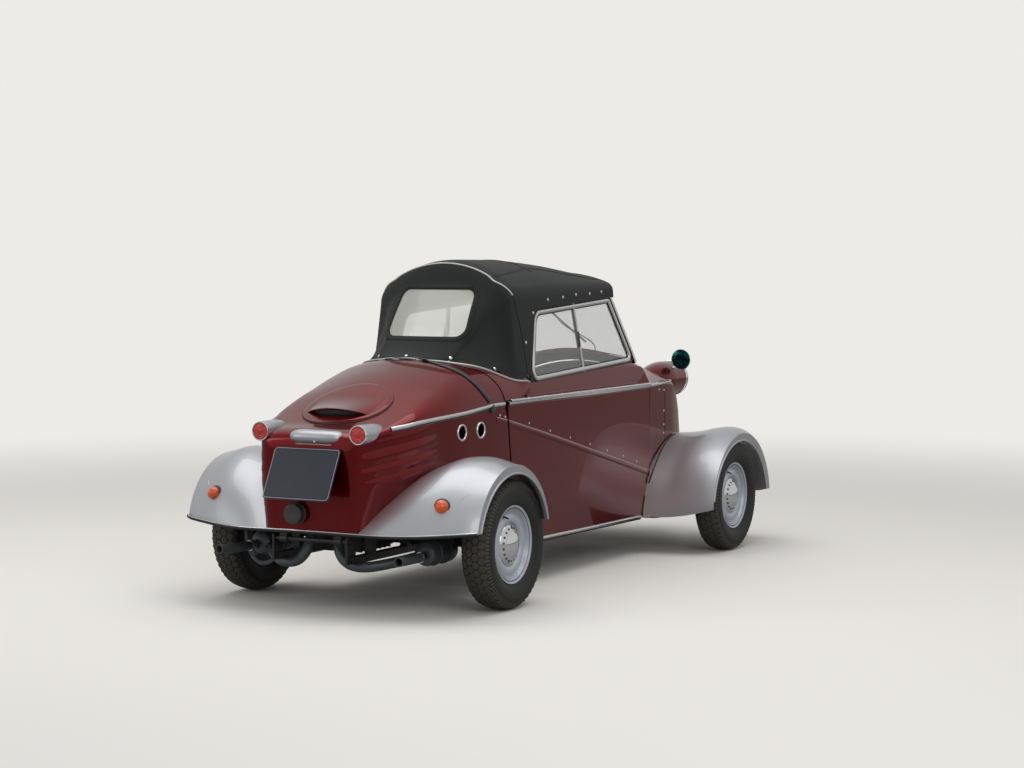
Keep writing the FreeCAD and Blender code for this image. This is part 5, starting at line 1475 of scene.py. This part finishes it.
for sideName, side in sides:
    def at(x, y, z):
        return Vector((side * x, y, z)) / 1000

    drum = [(0, 0), (1, 20), (5, 32), (14, 41), (24, 44), (60, 44.6), (62, 47), (66, 47), (68, 44.6),
            (128, 44.6), (130, 47), (134, 47), (136, 44.6), (168, 44), (180, 40), (187, 30), (190, 16),
            (190, 0)]
    ridesOn(turned("silencer_" + sideName, drum, at(341, 1020, 212), (0, 1, 0), exhaustPaint, 64), "chassis",
            "exhaust_steel", "exhaust")
    pipe = smoothLine([at(60, 1272, 298), at(60, 1300, 266), at(68, 1316, 214), at(108, 1318, 176),
                       at(172, 1306, 168), at(248, 1250, 182),
                       at(318, 1178, 202)], 0.012)
    ridesOn(sweep("headerPipe_" + sideName, pipe, Vector((0.1, 0.2, 1)), roundBar(0.0185, 24), exhaustPaint),
            "chassis", "exhaust_steel")
    tail = smoothLine([at(352, 1195, 207), at(353, 1260, 206), at(356, 1320, 207), at(368, 1420, 211)], 0.012)
    tube = [(u * 0.0165, v * 0.0165) for u, v in roundBar(1.0, 24)]
    rows = []
    for i, p in enumerate(tail):
        along = (tail[min(i + 1, len(tail) - 1)] - tail[max(i - 1, 0)]).normalized()
        across = along.cross(Vector((0, 0, 1))).normalized()
        up = across.cross(along)
        rows.append([p + across * u + up * v for u, v in tube])
    for back in (0, -1, -2, -3, -4):
        i = len(tail) - 1 + back
        p = tail[i]
        rows.append([p + (q - p) * 0.84 for q in rows[i]])
    ridesOn(crisp(gridMesh("tailPipe_" + sideName, rows, exhaustPaint, closed=True, ends=False), 50),
            "chassis", "exhaust_steel")
    ridesOn(turned("pipeClamp_" + sideName, [(-9, 16.6), (-9, 19), (9, 19), (9, 16.6)], tail[4],
                   tail[5] - tail[3], chrome, 32), "chassis", "exhaust_steel")


# ---- nose fittings

for sideName, side in sides:
    centre = Vector((side * 0.203, frontAxle - 0.268, 0.705))
    forward = Vector((0, -1, 0))
    bezel = [(-8, 75.2), (-6, 77.6), (2, 78.6), (9, 77.4), (13, 74.2), (13.6, 71.4), (11.6, 69.2), (6, 68.6),
             (0, 69)]
    ridesOn(turned("lampBezel_" + sideName, bezel, centre, forward, chrome, 72, 40), "chassis", "chrome")
    glass = [(6, 69), (13, 66), (19, 58), (25, 44), (28.4, 26), (29.6, 10), (29.8, 0)]
    lens = turned("lampGlass_" + sideName, glass, centre, forward, windowGlass, 72, 60)
    ridesOn(lens, "chassis", "pane", "headlamp_lenses")
    bowl = [(4, 68), (-6, 62), (-22, 48), (-34, 28), (-38, 10), (-38, 0)]
    ridesOn(turned("lampBowl_" + sideName, bowl[::-1], centre, forward, chrome, 64, 60), "chassis", "chrome")
    ridesOn(turned("lampBulb_" + sideName,
                   [(-38, 0), (-38, 9), (-26, 9), (-24, 7), (-14, 8), (-6, 6), (-2, 0)], centre, forward,
                   lining, 24), "chassis", "pane")
    bars = [Vector((side * 0.203 + x, centre.y - 0.001 - 0.0290 * math.sqrt(max(0.0, 1 - (x / 0.071)**2)),
                    0)) for x in np.linspace(-0.055, 0.055, 12)]
    for index, p in enumerate(bars):
        reach = math.sqrt(0.064**2 - (p.x - side * 0.203)**2)
        line = []
        for t in np.linspace(-1, 1, 9):
            z = reach * t
            r = math.hypot(p.x - side * 0.203, z)
            depth = float(np.interp(r, [0, 0.010, 0.026, 0.044, 0.058, 0.066, 0.069],
                                    [29.8, 29.6, 28.4, 25, 19, 13, 6])) / 1000
            line.append(Vector((p.x, centre.y - depth, 0.705 + z)))
        ridesOn(sweep(f"lampRib_{sideName}_{index}", line, forward, domed(0.003, 0.0012), windowGlass),
                "chassis", "pane")
    ridesOn(turned("sideLampBase_" + sideName, [(0, 0), (0, 21), (4, 21.6), (8, 20.4), (9, 18)],
                   Vector((side * 0.548, frontAxle - 0.255, 0.4395)),
                   Vector((side * 0.1, -0.62, 0.78)), chrome, 40), "chassis", "chrome")
    ridesOn(turned("sideLampLens_" + sideName, [(7, 18.6), (16, 17.6), (22, 14), (26, 8), (27, 0)],
                   Vector((side * 0.548, frontAxle - 0.255, 0.4395)),
                   Vector((side * 0.1, -0.62, 0.78)), amberLens, 40), "chassis", "amber_lens")

# Mirror: a chrome shell, dark glass to the rear, a bent stalk from the headlamp.
mirrorSpot, mirrorBack = Vector((-0.304, frontAxle - 0.140, 0.792)), Vector((0, 1, 0))
ridesOn(turned("mirrorShell", [(-12, 0), (-11.6, 12), (-9.4, 26), (-5.6, 37), (-1.6, 43), (1.5, 44.9),
                               (3.4, 44.6), (4.0, 43.2), (2.4, 42.4)],
               mirrorSpot - mirrorBack * 0.0042, mirrorBack, chrome, 64, 50), "chassis", "chrome", "mirror")
ridesOn(turned("mirrorGlass", [(-2, 42.6), (-0.4, 42.8), (0.2, 41), (0.5, 20), (0.6, 0)],
               mirrorSpot - mirrorBack * 0.0012, mirrorBack,
               mirrorGlass, 64, 60), "chassis", "mirror_face")
stalk = smoothLine([mirrorSpot - mirrorBack * 0.013, mirrorSpot + Vector((0.008, -0.028, -0.006)),
                    Vector((-0.272, frontAxle - 0.168, 0.764)),
                    Vector((-0.250, frontAxle - 0.160, 0.7495)), Vector((-0.243, frontAxle - 0.158, 0.744))],
                   0.006)
ridesOn(sweep("mirrorStalk", stalk, Vector((0.3, 0.2, 1)), roundBar(0.0042, 14), chrome), "chassis", "chrome")
ridesOn(turned("mirrorFoot", [(-3, 0), (-3, 13), (2, 13), (5, 10), (9, 6.5), (10, 0)],
               Vector((-0.2455, frontAxle - 0.159, 0.746)),
               Vector((-0.55, 0, 0.83)), chrome, 32), "chassis", "chrome")


# ---- seats


def block(name, low, high, bend, finish, axis="Z"):
    (x0, y0, z0), (x1, y1, z1) = [[v / 1000 for v in corner] for corner in (low, high)]
    if axis == "Z":
        return prism(name, rounded([(x0, y0), (x1, y0), (x1, y1), (x0, y1)], [bend] * 4), "z", z0, z1, finish)
    return prism(name, rounded([(x0, z0), (x1, z0), (x1, z1), (x0, z1)], [bend] * 4), "y", y0, y1, finish)


def evaluated(piece):
    scene.view_layers[0].update()
    made = bpy.data.meshes.new_from_object(piece.evaluated_get(bpy.context.evaluated_depsgraph_get()))
    piece.modifiers.clear()
    old = piece.data
    piece.data = made
    bpy.data.meshes.remove(old)


# A pad starts as a plain block a little small, is blown up as cloth, and keeps its sewn lines down.
def padded(name, low, high, bend, finish, body, replaced, sewn, axis="Z", cap=0.011):
    piece = block(name, low, high, bend, finish, axis)
    remesh = piece.modifiers.new("even", "REMESH")
    remesh.mode, remesh.voxel_size = "VOXEL", 0.0062
    evaluated(piece)
    start = [v.co.copy() for v in piece.data.vertices]
    group = piece.vertex_groups.new(name="sewn")
    for v in piece.data.vertices:
        hold = max([math.exp(-((v.co.x - x) / 0.006) ** 2) for x in sewn] or [0])
        if hold > 0.2:
            group.add([v.index], hold, "REPLACE")
    cloth = piece.modifiers.new("swell", "CLOTH")
    settings = cloth.settings
    settings.quality, settings.mass = 5, 0.3
    settings.tension_stiffness = settings.compression_stiffness = 15
    settings.shear_stiffness, settings.bending_stiffness = 5, 0.6
    settings.use_pressure, settings.uniform_pressure_force = True, 4.0
    settings.vertex_group_mass = "sewn"
    settings.effector_weights.gravity = 0.0
    cloth.point_cache.frame_start, cloth.point_cache.frame_end = 1, 20
    for frameNumber in range(1, 21):
        scene.frame_set(frameNumber)
    evaluated(piece)
    for v, begin in zip(piece.data.vertices, start):
        move = v.co - begin
        if move.length > cap:
            v.co = begin + move.normalized() * cap
    scene.frame_set(1)
    finer = piece.modifiers.new("finer", "SUBSURF")
    finer.levels = 1
    evaluated(piece)
    piece.data.materials.clear()
    piece.data.materials.append(finish)
    for face in piece.data.polygons:
        face.use_smooth = True
    piece.vertex_groups.clear()
    ridesOn(piece, body, "seat_cover", replaced)
    return piece


seatPlaces = {"driver": (-330, 60, 0, 100, -280, 10), "rear": (190, 470, 410, 510, 240, 420)}
for label, (y0, y1, back0, back1, foot0, foot1) in seatPlaces.items():
    node = label + "_seat"
    wide = 200
    padded(label + "Cushion", (-wide + 12, y0 + 12, 300), (wide - 12, y1 - 12 - 60, 372), 0.045,
                     seatCloth, "chassis", node, (-0.095, 0.0, 0.095))
    rest = padded(label + "Backrest", (-wide + 12, back0 + 12, 392), (wide - 12, back1 - 12, 788), 0.075,
                  seatCloth, "chassis", node, (-0.095, 0.0, 0.095), "Y")
    frameBox = block(label + "SeatBase", (-wide + 6, y0 + 6, 268), (wide - 6, y1 - 6, 288), 0.03, darkTrimAndShade)
    ridesOn(frameBox, "chassis", "seat_cover", node)
    ridesOn(block(label + "SeatFoot", (-148, foot0 + 2, 176), (148, foot1 - 2, 268), 0.02, underPaint),
            "chassis", "floor_paint", node)
    # Piping sewn round the two edges of each backrest.
    for index, y in enumerate((back0 + 14, back1 - 14)):
        edge = rounded([(-wide + 10, 394), (wide - 10, 394), (wide - 10, 788), (-wide + 10, 788)], [78] * 4,
                       8)
        tree = treeOf(rest)
        loop = []
        for x, z in edge:
            spot = tree.find_nearest(Vector((x / 1000, y / 1000, z / 1000)))[0]
            loop.append(spot)
        ridesOn(sweep(f"{label}Piping_{index}", smoothLine(loop, 0.012, True), Vector((0, 1, 0)),
                      roundBar(0.0034, 8), darkTrimAndShade, closed=True),
                "chassis", "seat_cover")

# ---- steering and instruments

colFoot, colHead = Vector((0, -0.642, 0.1743)), Vector((0, -0.442, 0.700))
colAxis = (colHead - colFoot).normalized()
length = (colHead - colFoot).length * 1000
ridesOn(turned("columnTube", [(0, 0), (0, 20), (6, 20), (10, 14), (40, 13.6), (length - 60, 13.6),
                              (length - 56, 13.8), (length - 2, 13.8),
                              (length - 2, 0)], colFoot, colAxis, steelBlack, 32), "chassis", "axle_steel",
        "steering_column")
across = Vector((1, 0, 0))


def barPoint(x, along):
    return colHead + across * (x / 1000) + colAxis * (along / 1000)


ridesOn(turned("steeringHub", [(1, 0), (1, 20), (4, 22), (22, 22), (27, 18), (30, 10), (31, 0)], colHead,
               colAxis, darkPlastic, 40), "steering", "dark_plastic", "steering_bar")
barLine = smoothLine([barPoint(x, a) for x, a in ((-190, 58), (-176, 36), (-150, 14), (-100, 11), (0, 13),
                                                  (100, 11), (150, 14), (176, 36), (190, 58))], 0.01)
ridesOn(sweep("steeringTube", barLine, colAxis, roundBar(0.0098, 20), chrome), "steering", "dark_plastic",
        "steering_bar")
for sideName, side in sides:
    grip = smoothLine([barPoint(side * x, a) for x, a in ((192, 61), (176, 36), (156, 18))], 0.006)
    ridesOn(sweep("steeringGrip_" + sideName, grip, colAxis, roundBar(0.0128, 20), rubber), "steering",
            "tyre_rubber")

dash = block("dashPanel", (-303, -651, 606), (303, -594, 692), 0.03, underPaint, "Y")
ridesOn(dash, "chassis", "floor_paint", "dashboard")
for index, (x, radius) in enumerate(((-0.115, 17), (0, 34), (0.115, 17))):
    spot = Vector((x, -0.594, 0.650))
    ridesOn(turned(f"dialRing_{index}", [(-2, radius + 1), (0, radius + 2), (2.4, radius + 1.6), (3, radius),
                                         (2, radius - 1.6)], spot, (0, 1, 0), chrome, 48), "chassis",
            "chrome")
    ridesOn(turned(f"dialFace_{index}", [(0, radius - 1), (1.4, radius - 1.4), (1.5, 0)], spot, (0, 1, 0),
                   plateFace, 40), "chassis", "plate_dark")
for index, x in enumerate((-0.21, -0.17, 0.17, 0.21)):
    ridesOn(turned(f"dashKnob_{index}", [(0, 0), (0, 4), (8, 4), (9, 8), (15, 8.6), (18, 6), (19, 0)],
                   Vector((x, -0.594, 0.645)), (0, 1, 0),
                   darkPlastic, 24), "chassis", "dark_plastic")

# Mats in the footwells.
for sideName, side in sides:
    ridesOn(block("mat_" + sideName, (min(side * 40, side * 285), -640, 175),
                  (max(side * 40, side * 285), -350, 180), 0.02, rubber),
            "chassis", "tyre_rubber")

# ---- piano hinge

hingeX, hingeZ = -0.338, 0.707
barrels, barrelStart, barrelPitch = 9, -0.684, 0.138
for index in range(barrels):
    start = barrelStart + barrelPitch * index
    body = "chassis" if index % 2 == 0 else "canopy"
    node = "canopy_hinge_fixed" if index % 2 == 0 else "canopy_hinge_moving"
    ridesOn(turned(f"hingeBarrel_{index}",
                   [(0, 0), (0, 5.2), (0.7, 5.9), (135.6, 5.9), (136.4, 5.2), (136.4, 0)],
                   Vector((hingeX, start, hingeZ)), (0, 1, 0), polished, 28), body, "frame_metal", node)
aside = Vector((-1, 0, 0))
ridesOn(sweep("hingeLeafFixed", [Vector((-0.3315, y, 0.6955)) for y in np.linspace(-0.684, 0.557, 12)], aside,
              flatStrip(0.019, 0.0012), redPaint), "chassis", "body_paint", "canopy_hinge_fixed")
ridesOn(sweep("hingeLeafMoving", [Vector((-0.3315, y, 0.7165)) for y in np.linspace(-0.546, 0.419, 12)],
              aside, flatStrip(0.012, 0.0012), redPaint), "canopy", "body_paint", "canopy_hinge_moving")

# ---- engine

ridesOn(block("engineCase", (-118, 900, 264), (118, 1236, 402), 0.05, castMetal, "Y"), "chassis",
        "engine_metal", "engine")
ridesOn(turned("gearCase", [(0, 0), (0, 60), (8, 74), (30, 80), (86, 80), (108, 70), (120, 40), (122, 0)],
               Vector((-0.060, 1.120, 0.346)), (0, 1, 0), castMetal, 40), "chassis", "engine_metal", "engine")
ridesOn(turned("fanShroud", [(0, 0), (0, 92), (6, 104), (24, 110), (60, 110), (74, 96), (78, 60), (70, 52),
                             (66, 0)], Vector((0.100, 1.06, 0.440)), (1, 0, 0), darkTrimAndShade, 48), "chassis",
        "engine_metal", "engine")
for index in range(11):
    z = 408 + index * 12
    ridesOn(block(f"coolingFin_{index}", (-72, 980 if index < 9 else 996, z),
                  (72, 1124 if index < 9 else 1108, z + 4), 0.02, castMetal),
            "chassis", "engine_metal", "engine")
ridesOn(turned("cylinder", [(0, 0), (0, 50), (130, 50), (146, 40), (150, 0)], Vector((0, 1.052, 0.400)),
               (0, 0, 1), castMetal, 36), "chassis", "engine_metal", "engine")
ridesOn(block("engineSump", (-92, 1236, 270), (92, 1266, 370), 0.03, castMetal, "Y"), "chassis",
        "engine_metal", "engine")
underside = block("gearSump", (-112, 1016, 212), (112, 1238, 262), 0.02, steelBlack, "Y")
ridesOn(underside, "chassis", "engine_metal")
for index in range(7):
    y = 1030 + index * 32
    ridesOn(block(f"sumpRib_{index}", (-104, y, 205), (104, y + 6, 213), 0.002, steelBlack), "chassis",
            "engine_metal")

for head in heads:
    bpy.data.objects.remove(head)

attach(hood, "canopy")
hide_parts("soft_top")


# ---- carried-over pieces

slotFinish = {
    "body_paint": redPaint, "wing_paint": silverPaint, "floor_paint": underPaint, "tyre_rubber": rubber,
    "rim_paint": rimSilver, "chrome": chrome, "frame_metal": polished, "pane": windowGlass,
    "hood_cloth": hoodCloth, "vinyl_window": vinyl, "seat_cover": seatCloth, "red_lens": redLens,
    "amber_lens": amberLens, "plate_dark": plateFace, "dark_plastic": darkPlastic,
    "exhaust_steel": exhaustPaint, "axle_steel": steelBlack, "engine_metal": castMetal,
    "mirror_face": mirrorGlass}
slots = {part["node"]: part["material_slot"] for part in frame["record"]["subparts"]}
for name, node in nodes.items():
    node.data.materials.clear()
    node.data.materials.append(slotFinish[slots[name]])

# ---- stage

backdropColour = (0.84, 0.83, 0.81, 1)
floorFinish = Finish("pale floor")
spread = floorFinish.node("ShaderNodeVectorMath", {"operation": "LENGTH"}, {0: floorFinish.place()})
far = floorFinish.node("ShaderNodeMapRange", {"interpolation_type": "SMOOTHSTEP"},
                       {"Value": spread.outputs["Value"], "From Min": 2.6, "From Max": 7.5})
rays = floorFinish.node("ShaderNodeLightPath")
near = floorFinish.mix(rays.outputs["Is Camera Ray"], (0.36, 0.355, 0.345), (0.84, 0.825, 0.8))
eye = Wire(floorFinish, far.outputs["Result"]) * rays.outputs["Is Camera Ray"]
floorGrain = floorFinish.noise(2.0, 4.0, 0.6)
floorFinish.set(baseColour=floorFinish.mix(eye.socket, near, (0, 0, 0)), roughness=floorGrain * 0.12 + 0.3,
                emissionColour=floorFinish.mix(eye.socket, (0, 0, 0), backdropColour))
floorFinish.shader.inputs["Emission Strength"].default_value = 1.0
floorFinish.shader.inputs["Specular IOR Level"].default_value = 0.0
ring = [(40 * math.cos(a * math.pi / 32), 40 * math.sin(a * math.pi / 32), 0) for a in range(64)]
floor = addMesh("floor", ring, [tuple(range(64))], floorFinish.material, smooth=False)


def lamp(name, place, aim, size, power, colour=(1, 1, 1)):
    light = bpy.data.lights.new(name, "AREA")
    light.shape, light.size, light.size_y = "RECTANGLE", size[0], size[1]
    light.energy, light.color = power, colour
    made = bpy.data.objects.new(name, light)
    scene.collection.objects.link(made)
    made.location = place
    made.rotation_euler = (Vector(aim) - Vector(place)).to_track_quat("-Z", "Y").to_euler()
    return made


lamp("ceiling", (0, 0.6, 4.4), (0, 0.5, 0), (5.6, 3.2), 95)
lamp("key", (-4.6, 4.4, 3.0), (0, 0.4, 0.5), (3.4, 2.2), 50)
lamp("fill", (3.8, 4.6, 2.2), (0, 0.4, 0.6), (1.8, 1.8), 26)

# The backdrop is near white to the eye and through the glass, and softer where it only lights.
world = bpy.data.worlds.new("studio")
scene.world = world
world.use_nodes = True
wiring = world.node_tree
background = wiring.nodes["Background"]
background.inputs["Strength"].default_value = 1.0
rays = wiring.nodes.new("ShaderNodeLightPath")
seen = wiring.nodes.new("ShaderNodeMath")
seen.operation, seen.use_clamp = "ADD", True
wiring.links.new(rays.outputs["Is Camera Ray"], seen.inputs[0])
wiring.links.new(rays.outputs["Is Transmission Ray"], seen.inputs[1])
shade = wiring.nodes.new("ShaderNodeMix")
shade.data_type = "RGBA"
shade.inputs[6].default_value = (0.56, 0.555, 0.545, 1)
shade.inputs[7].default_value = backdropColour
wiring.links.new(seen.outputs[0], shade.inputs[0])
wiring.links.new(shade.outputs[2], background.inputs["Color"])
scene.view_settings.view_transform = "Standard"

cameraData = bpy.data.cameras.new("camera")
cameraData.lens = 81.2
cameraData.sensor_width = 36
camera = bpy.data.objects.new("camera", cameraData)
scene.collection.objects.link(camera)
camera.location = (-4.350, 8.084, 1.263)
camera.rotation_euler = (math.radians(86.69), 0, math.radians(208.03))
scene.camera = camera

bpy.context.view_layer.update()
